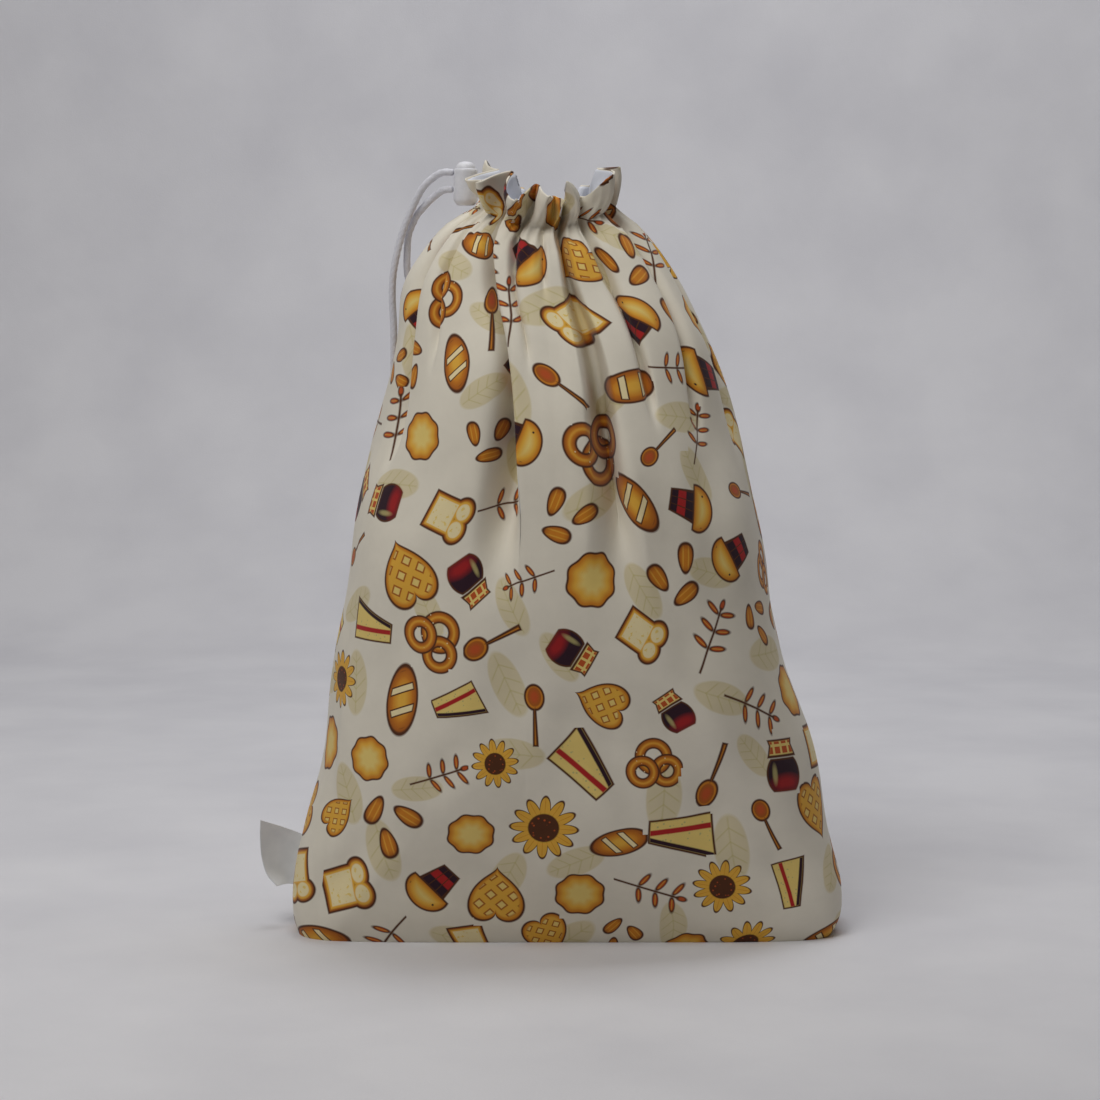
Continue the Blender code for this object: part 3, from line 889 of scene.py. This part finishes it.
# Creases on the front: straight soft troughs from one place to another, as x0, z0, x1 and z1
# seen from the front, each with its width and depth.
CREASES = (
    (10, 255, 18, 215, 7, 1.6),
    (38, 178, 60, 140, 7, 1.3),
    (44, 120, 74, 62, 9, 1.5),
    (-62, 190, -82, 128, 9, 1.2),
    (-20, 150, -34, 96, 11, 1.2),
    (84, 70, 118, 30, 8, 1.4),
    (-84, 60, -116, 24, 8, 1.4),
    (60, 230, 70, 176, 7, 1.2),
    (-6, 118, 28, 96, 6, 1.0),
    (14, 108, 34, 60, 6, 0.9),
    (92, 44, 122, 14, 6, 1.3),
    (-98, 40, -124, 8, 7, 1.2),
    (-46, 100, -70, 70, 7, 0.8),
    (56, 22, 96, 12, 6, 0.9),
)
# A crease's raised sides: their height as a share of its depth, and their place and sharpness in
# its widths. It runs out past its ends, and fades over a share of its length.
CREASE_RAISE = 0.45
CREASE_SIDE = 1.7
CREASE_SHARP = 1.5
CREASE_PAST = 0.15
CREASE_FADE = 0.4


def ease(t):
    """0 up to 0, 1 from 1 on, and a smooth step between."""
    t = np.clip(t, 0, 1)
    return t * t * (3 - 2 * t)


def blend(low, high, share):
    return low + (high - low) * share


def column(name):
    return np.array([row[FOLD_COLUMNS.index(name)] for row in FOLDS], float)


class Section:
    """The bag's outline at one height: a squared ellipse, walked by its own length."""

    def __init__(self, height):
        heights, *table = np.array(SECTIONS, float).T
        left, right, front, back, square = (smooth_between(height, heights, c) for c in table)
        angle = np.linspace(0, 2 * math.pi, RING_STEPS + 1)
        across = np.sign(np.sin(angle)) * np.abs(np.sin(angle)) ** (2 / square)
        along = np.abs(np.cos(angle)) ** (2 / square)
        self.x = (left + right) / 2 + (right - left) / 2 * across
        self.y = np.where(np.cos(angle) > 0, front, back) * along
        walked = np.concatenate([[0], np.cumsum(np.hypot(np.diff(self.x), np.diff(self.y)))])
        self.length = walked[-1]
        self.turn = walked / self.length * 360

    def place(self, turn):
        turn = np.mod(turn, 360)
        return np.stack([np.interp(turn, self.turn, self.x), np.interp(turn, self.turn, self.y)])

    def outwards(self, turn):
        step = self.place(turn + 1.5) - self.place(turn - 1.5)
        step /= np.hypot(*step)
        return np.stack([step[1], -step[0]])


def cord_height(turn):
    """The gathered mouth is a saddle: it stands higher at the two side seams."""
    return CORD_LINE - SADDLE * np.cos(np.radians(2 * turn))


def round_the_bag(cloth, height, up=0.0):
    """Points of the outer cloth's face at one row, and each point's turn.

    cloth counts the folds round the bag: its whole part is the fold, the first half of the
    rest crosses the trough and the second half the panel to the right of it. height is the
    row's level, and up is the share of the heading's height, from 0 at the cord to 1 at the rim.
    """
    fold = np.floor(cloth).astype(int) % len(FOLDS)
    after = (fold + 1) % len(FOLDS)
    part = cloth - np.floor(cloth)
    in_trough = part < 0.5
    across = np.where(in_trough, 4 * part - 1, 1.0)
    over = np.where(in_trough, 0.0, 2 * part - 1)

    section = Section(height + up * HEADING)
    degrees = 360 / section.length
    gathered = np.clip((height - FOOT_OF_FOLDS) / (CORD_LINE - FOOT_OF_FOLDS), 0, 1)
    middle = blend(column("turn_foot"), column("turn_neck"), gathered ** column("late"))
    middle += column("rim_turn") * up
    mouth = blend(column("mouth_neck"), column("mouth_foot"), (1 - gathered) ** MOUTH_CLOSES)
    mouth = mouth * (1 - SLOT_LOST * up)
    half = mouth / 2 * degrees
    rise = np.clip((height - column("foot")) / (CORD_LINE - column("foot")), 0, 1)
    deepening = ease(rise / DEEPEST_AT)
    narrowing = ease((rise - DEEPEST_AT) / (1 - DEEPEST_AT))
    deep = column("depth_mid") * deepening
    deep += (column("depth_neck") - column("depth_mid")) * narrowing

    trough = (0.5 + 0.5 * np.cos(math.pi * across)) ** column("edge")[fold]
    start = (middle + half)[fold]
    end = (middle - half)[after] + np.where(after < fold, 360, 0)
    leaning = deepening * (1 - LEAN_LOST * narrowing)
    leaned = (column("lean") * leaning)[fold] * degrees * trough
    turn = np.where(in_trough, middle[fold] + half[fold] * across + leaned, blend(start, end, over))

    def of_lobe(name):
        """This column of the lobe that the point is on: the fold before's, left of a trough's middle."""
        value = column(name)
        return np.where(in_trough & (across < 0), np.roll(value, 1)[fold], value[fold])

    arch = np.where(in_trough, 0.0, np.sin(math.pi * over))
    ridge = np.where(in_trough, 1 - trough, 1.0)
    trough = np.where(in_trough, trough, 0.0)
    crown = CROWN * (end - start) / degrees * gathered * arch
    bulge = of_lobe("puff") * arch * (math.sin(math.pi * up ** PUFF_LOW) + 0.5 * up)
    pinched = PINCH * np.exp(-(((height + up * HEADING - CORD_LINE) / PINCH_REACH) ** 2)) * ridge
    outwards = crown + bulge - pinched - deep[fold] * trough

    rim = column("rim")
    near_rim = blend(rim[fold], rim[after], over)
    share = np.where(in_trough, LIP_AT_FOLD * ridge, LIP_AT_FOLD + (1 - LIP_AT_FOLD) * arch ** LIP_ROUND)
    rise_of_heading = blend(near_rim, of_lobe("lobe"), share)
    raised = cord_height(turn) - CORD_LINE
    z = height + raised * ease((height - SADDLE_FROM) / (CORD_LINE - SADDLE_FROM))
    z += (0.5 * up + 0.5 * math.sin(math.pi * up / 2)) * rise_of_heading
    xy = section.place(turn) + section.outwards(turn) * outwards
    lip = (0.5 * up + 0.5 * (1 - math.cos(math.pi * up / 2))) * share
    xy = xy + np.stack([of_lobe("lobe_x"), of_lobe("lobe_y")]) * lip
    return np.stack([xy[0], xy[1], z], axis=1), turn


def cloth_columns(trough_steps, panel_steps):
    trough = np.arange(trough_steps) / trough_steps / 2
    panel = 0.5 + np.arange(panel_steps) / panel_steps / 2
    return np.concatenate([k + np.concatenate([trough, panel]) for k in range(len(FOLDS))])


def bag_surface(cloth, heights, heading):
    """The outer face of the bag as rows of points from the floor to the rim, and their turns."""
    made = [round_the_bag(cloth, height) for height in heights]
    made += [round_the_bag(cloth, CORD_LINE, up) for up in heading]
    return np.array([m[0] for m in made]), np.array([m[1] for m in made])


def soften(rows):
    """Rounds the folds' edges: each point goes a few times to the mean of itself and its neighbours.

    The heading is rounded more and more towards its rim.
    """
    more = np.zeros((len(rows), 1, 1))
    more[len(HEIGHTS) :, 0, 0] = HEADING_ROWS
    for turn in range(SOFTENED + SOFTENED_RIM):
        mean = (np.roll(rows, 1, axis=1) + 2 * rows + np.roll(rows, -1, axis=1)) / 4
        rows = mean if turn < SOFTENED else rows + (mean - rows) * more
    return rows


def outwards_of(rows):
    """The way out at each point: square to its column and to the line between the points two either side."""
    along = np.roll(rows, -2, axis=1) - np.roll(rows, 2, axis=1)
    below = rows[0] * (0.5, 0.5, 1)
    beside = np.concatenate([below[None], rows, (2 * rows[-1] - rows[-2])[None]])
    out = np.cross(along, beside[2:] - beside[:-2])
    return out / np.linalg.norm(out, axis=2, keepdims=True)


def uneven(rows, turns):
    """Pushes the cloth in and out: the long waves, and the front's creases with their raised sides."""
    out = outwards_of(rows)
    x, z = rows[..., 0], rows[..., 2]
    push = np.zeros(x.shape)
    walked = np.radians(turns) * MEAN_RADIUS
    for round_it, up, phase, high in WAVES:
        push += high * np.sin(2 * math.pi * (walked / round_it + z / up) + phase)
    push *= ease(z / WAVES_GROW) * (1 - WAVES_LOST * ease((z - WAVES_FADE_FROM) / WAVES_FADE))
    gather = walked / GATHER_LENGTH * 2 * math.pi
    ripple = np.sin(gather + 1.9 * np.sin(gather * 0.37 + 1)) + 0.5 * np.sin(gather * 1.7 + z / 6)
    push += GATHER_HEIGHT * ripple * np.exp(-(((z - cord_height(turns)) / GATHER_REACH) ** 2))
    front = out[..., 1] < -0.1
    for x0, z0, x1, z1, width, depth in CREASES:
        long = math.hypot(x1 - x0, z1 - z0)
        ux, uz = (x1 - x0) / long, (z1 - z0) / long
        along = ((x - x0) * ux + (z - z0) * uz) / long
        off = ((x - x0) * -uz + (z - z0) * ux) / width
        sides = np.exp(-((np.abs(off) - CREASE_SIDE) ** 2) * CREASE_SHARP)
        shape = np.exp(-(off**2)) - CREASE_RAISE * sides
        fade = ease((along + CREASE_PAST) / CREASE_FADE) * ease((1 + CREASE_PAST - along) / CREASE_FADE)
        push -= np.where(front, depth * shape * fade, 0)
    return rows + out * push[..., None]


# The cloth's meshes.

HEIGHTS = (0, 0.8, 2, 3.6, 6, 9, 13, 18, 24) + tuple(np.linspace(29, 341, 80))
HEADING_ROWS = tuple(np.linspace(0, 1, 13)[1:])
TROUGH_STEPS = 14
PANEL_STEPS = 14
CLOTH_THICK = 0.5
HEM_THICK = 1.1
HEM_ROWS = 3
ROLL_STEPS = 5
BASE_RINGS = (0.12, 0.35, 0.6, 0.8, 0.92)
LINING_IN = 1.0
LINING_FINE_FROM = 300.0
LINING_PINCHED = 0.4
LINING_REACH = 12.0
DRAWN_SHARES = (0.15, 0.35, 0.65, 1.0)
LINING_THICK = 0.35
LINING_LOW = 0.6
LINING_SOFTENED = 3


def base_rings(ring):
    """The flat base from its middle out, as the ring drawn in."""
    return np.array([ring * (s, s, 1) for s in BASE_RINGS])


def well_inside(points, shell, gap):
    """Whether each point is inside the shell's outline, seen from above, and the gap away from it.

    A point is inside where a line from it to +X crosses the outline an odd number of times. The
    distance is that to the nearest place on the outline's sides.
    """
    x, y = points[:, None, 0], points[:, None, 1]
    x0, y0 = shell[None, :, 0], shell[None, :, 1]
    dx, dy = np.roll(x0, -1, axis=1) - x0, np.roll(y0, -1, axis=1) - y0
    spans = (y0 > y) != (y0 + dy > y)
    crosses = spans & (x < x0 + (y - y0) / np.where(dy == 0, 1, dy) * dx)
    along = np.clip(((x - x0) * dx + (y - y0) * dy) / np.maximum(dx * dx + dy * dy, 1e-9), 0, 1)
    apart = np.hypot(x - x0 - along * dx, y - y0 - along * dy).min(axis=1)
    return (crosses.sum(axis=1) % 2 == 1) & (apart > gap)


def drawn_in(rows, out, gap):
    """The face that lies the gap inside the outer rows, or nearer to them where a fold has less room.

    Among the folds, each point goes in by a growing share of the gap while it stays well inside its row.
    """
    inner = rows - out * gap
    level = rows[..., 2].mean(axis=1)
    for r in np.flatnonzero(level > FOOT_OF_FOLDS - 10):
        inner[r] = rows[r] - out[r] * gap[r] * DRAWN_SHARES[0] / 2
        going = np.ones(rows.shape[1], bool)
        for share in DRAWN_SHARES:
            tried = rows[r] - out[r] * gap[r] * share
            going &= well_inside(tried, rows[r], 0.5 * share * gap[r, 0, 0])
            inner[r, going] = tried[going]
    return inner


def pocket(rows, depth):
    """A closed cloth: its outer face with a base, a rolled rim, and its inner face at depth."""
    out = outwards_of(rows)
    inner = drawn_in(rows, out, depth[:, None, None])
    inner[..., 2] = np.maximum(inner[..., 2], rows[..., 2].min() + depth.min())
    top, low = rows[-1], inner[-1]
    middle, reach = (top + low) / 2, (top - low) / 2
    up = rows[-1] - rows[-2]
    up /= np.linalg.norm(up, axis=1, keepdims=True)
    size = np.linalg.norm(reach, axis=1, keepdims=True)
    angles = np.linspace(0, math.pi, ROLL_STEPS + 2)[1:-1]
    roll = [middle + reach * math.cos(a) + up * size * math.sin(a) for a in angles]
    floor = base_rings(rows[0])
    ceiling = base_rings(inner[0])[::-1]
    return np.concatenate([floor, rows, roll, inner[::-1], ceiling])


def cloth_lengths(rows):
    """U and V at each point of the outer face, in millimetres.

    V is the length walked up the middle of each panel, spread evenly between them. U is the
    length walked round from the middle of each stretch between two deep folds, and each middle
    has the U that it has low down, where the cloth lies open. The deep folds take up the rest.
    """
    count, ring = rows.shape[:2]
    steps = TROUGH_STEPS + PANEL_STEPS
    around = np.linalg.norm(np.roll(rows, -1, axis=1) - rows, axis=2)
    walked = np.concatenate([np.zeros((count, 1)), np.cumsum(around, axis=1)], axis=1)
    deep = np.flatnonzero([row[0] in DEEP_FOLDS for row in FOLDS])
    starts = deep * steps + TROUGH_STEPS
    ends = np.append(deep[1:], deep[0] + len(FOLDS)) * steps
    walked = np.concatenate([walked, walked[:, 1:] + walked[:, -1:]], axis=1)
    low = np.searchsorted(HEIGHTS, CLOTH_OPEN_AT)
    at_middle = (walked[low, starts] + walked[low, ends]) / 2 / walked[low, ring] * CLOTH_ROUND
    half = (walked[:, ends] - walked[:, starts]) / 2
    left, right = at_middle - half, at_middle + half
    u = np.empty((count, 2 * ring + 1))
    for k, (a, b) in enumerate(zip(starts, ends)):
        u[:, a : b + 1] = left[:, k, None] + walked[:, a : b + 1] - walked[:, a, None]
    after = np.concatenate([left[:, 1:], left[:, :1] + CLOTH_ROUND], axis=1)
    for k, (b, c) in enumerate(zip(ends, np.append(starts[1:], starts[0] + ring))):
        share = (walked[:, b : c + 1] - walked[:, b, None]) / (walked[:, c] - walked[:, b])[:, None]
        u[:, b : c + 1] = right[:, k, None] + (after[:, k] - right[:, k])[:, None] * share
    first = starts[0]
    u[:, :first] = u[:, ring : ring + first] - CLOTH_ROUND
    u = u[:, : ring + 1]
    folds = np.arange(len(FOLDS))
    starts, ends = folds * steps + TROUGH_STEPS, (folds + 1) * steps
    rise = np.linalg.norm(np.diff(rows, axis=0), axis=2)
    tall = np.concatenate([np.zeros((1, ring)), np.cumsum(rise, axis=0)])
    centre = (starts + ends) // 2
    at = np.concatenate([[centre[-1] - ring], centre, [centre[0] + ring]])
    values = tall[:, centre]
    values = np.concatenate([values[:, -1:], values, values[:, :1]], axis=1)
    v = np.stack([np.interp(np.arange(ring + 1), at, row) for row in values])
    return u, v


CLOTH_ROUND = 632.0
CLOTH_OPEN_AT = 140.0
DEEP_FOLDS = (
    "left_hollow", "front_hollow", "right_shoulder", "back_right", "back_right_inner", "back_middle",
    "back_left_inner", "back_left",
)
MOTIF_SPACING = 35.5
MOTIF_JITTER = 5.5
MOTIF_HALF = (14.0, 20.5)
MOTIF_PUSHES = 12
MOTIF_ROOM = 0.84
MOTIF_REACH = 1.25
MOTIF_SEED = 12
LEAF_SPACING = 52.0
LEAF_JITTER = 16.0
LEAF_HALF = (13.0, 19.0)
LEAF_REACH = 1.2
LEAF_SEED = 5
ROW_SPACING = 0.87
CLOTH_TALL = 430.0
# How far the print runs under the base, and the lengths up that the rolled rim takes.
PRINT_UNDER = 36.0
RIM_LENGTHS = (0.3, 1.4)


def scattered(spacing, jitter, half, seed):
    """Places on the cloth: a staggered grid, each point moved, turned and sized by chance.

    Then points nearer to each other than their sizes allow push each other apart a few times.
    """
    chance = np.random.default_rng(seed)
    across = int(round(CLOTH_ROUND / spacing))
    step = CLOTH_ROUND / across
    rows = np.arange(-1, int(CLOTH_TALL / (spacing * ROW_SPACING)) + 2)
    i, j = np.meshgrid(np.arange(across), rows)
    u = ((i + 0.5 * (j % 2)) * step).ravel()
    v = (j * spacing * ROW_SPACING).ravel()
    u = u + chance.uniform(-jitter, jitter, u.shape)
    v = v + chance.uniform(-jitter, jitter, u.shape)
    turn = chance.uniform(0, 2 * math.pi, u.shape)
    size = chance.uniform(*half, u.shape)
    for _ in range(MOTIF_PUSHES):
        du = u[:, None] - u[None]
        du -= np.round(du / CLOTH_ROUND) * CLOTH_ROUND
        dv = v[:, None] - v[None]
        apart = np.hypot(du, dv) + 1e6 * np.eye(len(u))
        push = 0.25 * np.clip((size[:, None] + size[None]) * MOTIF_ROOM - apart, 0, None) / apart
        u, v = u + (du * push).sum(axis=1), v + (dv * push).sum(axis=1)
    kind = np.array(ORDER)[(np.arange(len(u)) + 7 * np.arange(len(u)) // across) % len(ORDER)]
    return np.stack([u % CLOTH_ROUND, v, size, turn], axis=1), kind


def nearest(places, centres, reach):
    """For each place, the centre that it lies deepest in, and whether it lies within reach."""
    du = np.abs(places[:, None, 0] - centres[None, :, 0])
    du = np.minimum(du, CLOTH_ROUND - du)
    apart = np.hypot(du, places[:, None, 1] - centres[None, :, 1]) / centres[None, :, 2]
    best = apart.argmin(axis=1)
    near = apart[np.arange(len(places)), best] < reach
    return best, near


def print_on(made, u, v):
    """Gives the outer face its lengths as a UV map and each face the numbers of its motifs."""
    data = made.data
    count, ring = u.shape[0], u.shape[1] - 1
    base = len(BASE_RINGS)
    tall = count + 2 * base + ROLL_STEPS + count
    drop = -(1 - np.array(BASE_RINGS)[:, None]) * PRINT_UNDER
    rim = np.linspace(*RIM_LENGTHS, ROLL_STEPS)[:, None]
    full_u = np.concatenate([u[:1] + 0 * drop, u, u[-1:] + 0 * rim, u[::-1], u[:1] + 0 * drop])
    full_v = np.concatenate([drop + 0 * v[:1], v, v[-1:] + rim, v[::-1], drop[::-1] + 0 * v[:1]])
    quads = (tall - 1) * ring
    r, c = np.divmod(np.arange(quads), ring)
    corner_u, corner_v = (
        np.stack([g[r, c], g[r, c + 1], g[r + 1, c + 1], g[r + 1, c]], axis=1) for g in (full_u, full_v)
    )
    faces = len(data.polygons)
    uv = np.zeros((len(data.loops), 2))
    uv[: quads * 4, 0] = corner_u.ravel() * MM
    uv[: quads * 4, 1] = corner_v.ravel() * MM
    layer = data.uv_layers.new(name="cloth")
    layer.data.foreach_set("uv", uv.ravel())
    middle = np.zeros((faces, 2))
    middle[:quads, 0] = corner_u.mean(axis=1) % CLOTH_ROUND
    middle[:quads, 1] = corner_v.mean(axis=1)
    drawn = np.zeros(faces, bool)
    drawn[: (base + count + ROLL_STEPS) * ring] = True

    def carry(name, centres, best):
        """Each face's centre is moved by whole rounds to lie beside the face."""
        chosen = centres[best]
        raw = np.zeros(faces)
        raw[:quads] = corner_u.mean(axis=1)
        shift = np.round((raw - chosen[:, 0]) / CLOTH_ROUND) * CLOTH_ROUND
        place = np.stack([(chosen[:, 0] + shift) * MM, chosen[:, 1] * MM, chosen[:, 2] * MM], axis=1)
        turn = np.stack([np.cos(chosen[:, 3]), np.sin(chosen[:, 3]), np.zeros(faces)], axis=1)
        for kind, values in (("_place", place), ("_turn", turn)):
            layer = data.attributes.new(name + kind, "FLOAT_VECTOR", "FACE")
            layer.data.foreach_set("vector", values.ravel())

    motifs, kind = scattered(MOTIF_SPACING, MOTIF_JITTER, MOTIF_HALF, MOTIF_SEED)
    best, near = nearest(middle, motifs, MOTIF_REACH)
    carry("motif", motifs, best)
    leaves, _ = scattered(LEAF_SPACING, LEAF_JITTER, LEAF_HALF, LEAF_SEED)
    leaf, _ = nearest(middle, leaves, LEAF_REACH)
    carry("leaf", leaves, leaf)
    slots = np.where(near & drawn, 1 + kind[best], 0)
    data.materials.clear()
    data.materials.append(cotton("printed_cotton_plain"))
    for motif in MOTIFS:
        data.materials.append(cotton("printed_cotton_" + motif.__name__, motif))
    data.polygons.foreach_set("material_index", slots.astype(np.int32))


def outer_cloth():
    cloth = cloth_columns(TROUGH_STEPS, PANEL_STEPS)
    rows, turns = bag_surface(cloth, HEIGHTS, HEADING_ROWS)
    rows = uneven(soften(rows), turns)
    rows[..., 2] = np.maximum(rows[..., 2], 0)
    rows[0, :, 2] = 0
    hem = ease((np.arange(len(rows)) - (len(rows) - 1 - HEM_ROWS)) / HEM_ROWS)
    depth = CLOTH_THICK + (HEM_THICK - CLOTH_THICK) * hem
    made = grid_object("bag_cloth", pocket(rows, depth), caps=True)
    print_on(made, *cloth_lengths(rows))
    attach(made, "bag")
    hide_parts("outer_bag")
    return rows


def lining_material():
    made, tree, at, _ = cloudy_material(
        "white_lining_cloth", LINING_WHITE, LINING_SHADE, 0.7, (60.0, 3.0, 0.3, 0.8), sheen=0.1
    )
    x, _, z = split(tree, at)
    weave = (x * LINING_THREADS).do("SINE") * (z * LINING_THREADS).do("SINE")
    bump(tree, weave + noise(tree, at, 900.0, 2.0), 0.15, 0.00006)
    return made


def lining_cloth(rows):
    """The lining follows the outer cloth inside it and ends just under the rolled rim."""
    out = outwards_of(rows)
    for _ in range(LINING_SOFTENED):
        out = (np.roll(out, 1, axis=1) + 2 * out + np.roll(out, -1, axis=1)) / 4
    out /= np.linalg.norm(out, axis=2, keepdims=True)
    near_cord = np.exp(-(((rows[:, :1, 2:] - CORD_LINE) / LINING_REACH) ** 2))
    rows = drawn_in(rows, out, LINING_IN * (1 - LINING_PINCHED * near_cord))
    rows[..., 2] = np.maximum(rows[..., 2], LINING_IN)
    kept = np.arange(len(rows))
    rows = rows[(kept % 2 == 0) | (rows[:, 0, 2] > LINING_FINE_FROM)]
    rows[-1] -= (0, 0, LINING_LOW)
    made = grid_object("lining_cloth", pocket(rows, np.full(len(rows), LINING_THICK)), caps=True)
    made.data.materials.append(lining_material())
    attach(made, "bag")
    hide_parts("lining")


# The tab.

# Each line of the tab, from its top down: its root's z, its outer end's x, z and y, and its bow.
TAB = (
    (44.6, -147.5, 52.4, -5.0, 0.6),
    (38.0, -147.9, 44.0, -4.0, 1.0),
    (31.5, -147.3, 34.0, -3.5, 1.2),
    (25.0, -144.6, 26.0, -5.5, 1.6),
    (19.5, -139.5, 21.0, -9.0, 2.2),
)
TAB_THICK = 0.5
TAB_OFF = 0.1
TAB_GRID = (26, 34)
TAB_SHARP = 50


def satin_material():
    made, tree, at, cloud = cloudy_material(
        "satin_ribbon_bare", SATIN_WHITE, SATIN_SHADE, 0.4, (120.0, 2.0, 0.3, 0.8), sheen=0.2
    )
    ribs = (split(tree, at)[2] * SATIN_RIBS).do("SINE")
    bump(tree, ribs * 0.5 + noise(tree, at, 700.0, 2.0), 0.3, 0.00008)
    tree.links.new((cloud * 0.2 + 0.36).socket, shader(tree).inputs["Roughness"])
    return made


def tab(bag_rows):
    """A ribbon tab from the seam outwards: straight lines from the root to the outer edge, bowed."""
    table = np.array(TAB, float)
    level = np.arange(len(table))
    down = np.linspace(0, len(table) - 1, TAB_GRID[1])
    root_z, outer_x, outer_z, outer_y, bulge = (smooth_between(down, level, c) for c in table.T)
    heights = bag_rows[:, :, 2].mean(axis=1)
    root_x = np.interp(root_z, heights, bag_rows[:, :, 0].min(axis=1)) - TAB_OFF
    out = np.linspace(0, 1, TAB_GRID[0])[:, None]
    x = root_x + (outer_x - root_x) * out
    y = outer_y * out**1.5 + bulge * np.sin(math.pi * out)
    z = root_z + (outer_z - root_z) * out
    face = np.stack([x, y, z], axis=2)
    away = np.cross(np.gradient(face, axis=0), np.gradient(face, axis=1))
    away /= np.linalg.norm(away, axis=2, keepdims=True)
    front, back = face + away * TAB_THICK / 2, face - away * TAB_THICK / 2
    ring = np.concatenate([front, back[:, ::-1]], axis=1)
    made = grid_object("ribbon_tab", ring)
    close_ends(made, *ring.shape[:2])
    made.data.materials.append(satin_material())
    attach(made, "bag")
    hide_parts("label_tab")


def close_ends(made, rows, ring):
    """Closes a flat tube's two ends with quads from its one side to the other."""
    data = made.data
    points = np.empty(len(data.vertices) * 3)
    data.vertices.foreach_get("co", points)
    quads = grid_faces(rows, ring, True)
    c = np.arange(ring // 2 - 1)
    first = np.stack([c, ring - 1 - c, ring - 2 - c, c + 1], axis=1)
    last = first[:, ::-1] + (rows - 1) * ring
    made.data = bpy.data.meshes.new(data.name)
    made.data.from_pydata(points.reshape(-1, 3).tolist(), [], np.concatenate([quads, first, last]).tolist())
    shade_smooth(made.data)
    made.data.set_sharp_from_angle(angle=math.radians(TAB_SHARP))


# Everything together.

bpy.context.scene.view_settings.view_transform = "Standard"
camera()
cords()
lock()
bag_rows = outer_cloth()
lining_cloth(bag_rows)
tab(bag_rows)
stage()
lights()
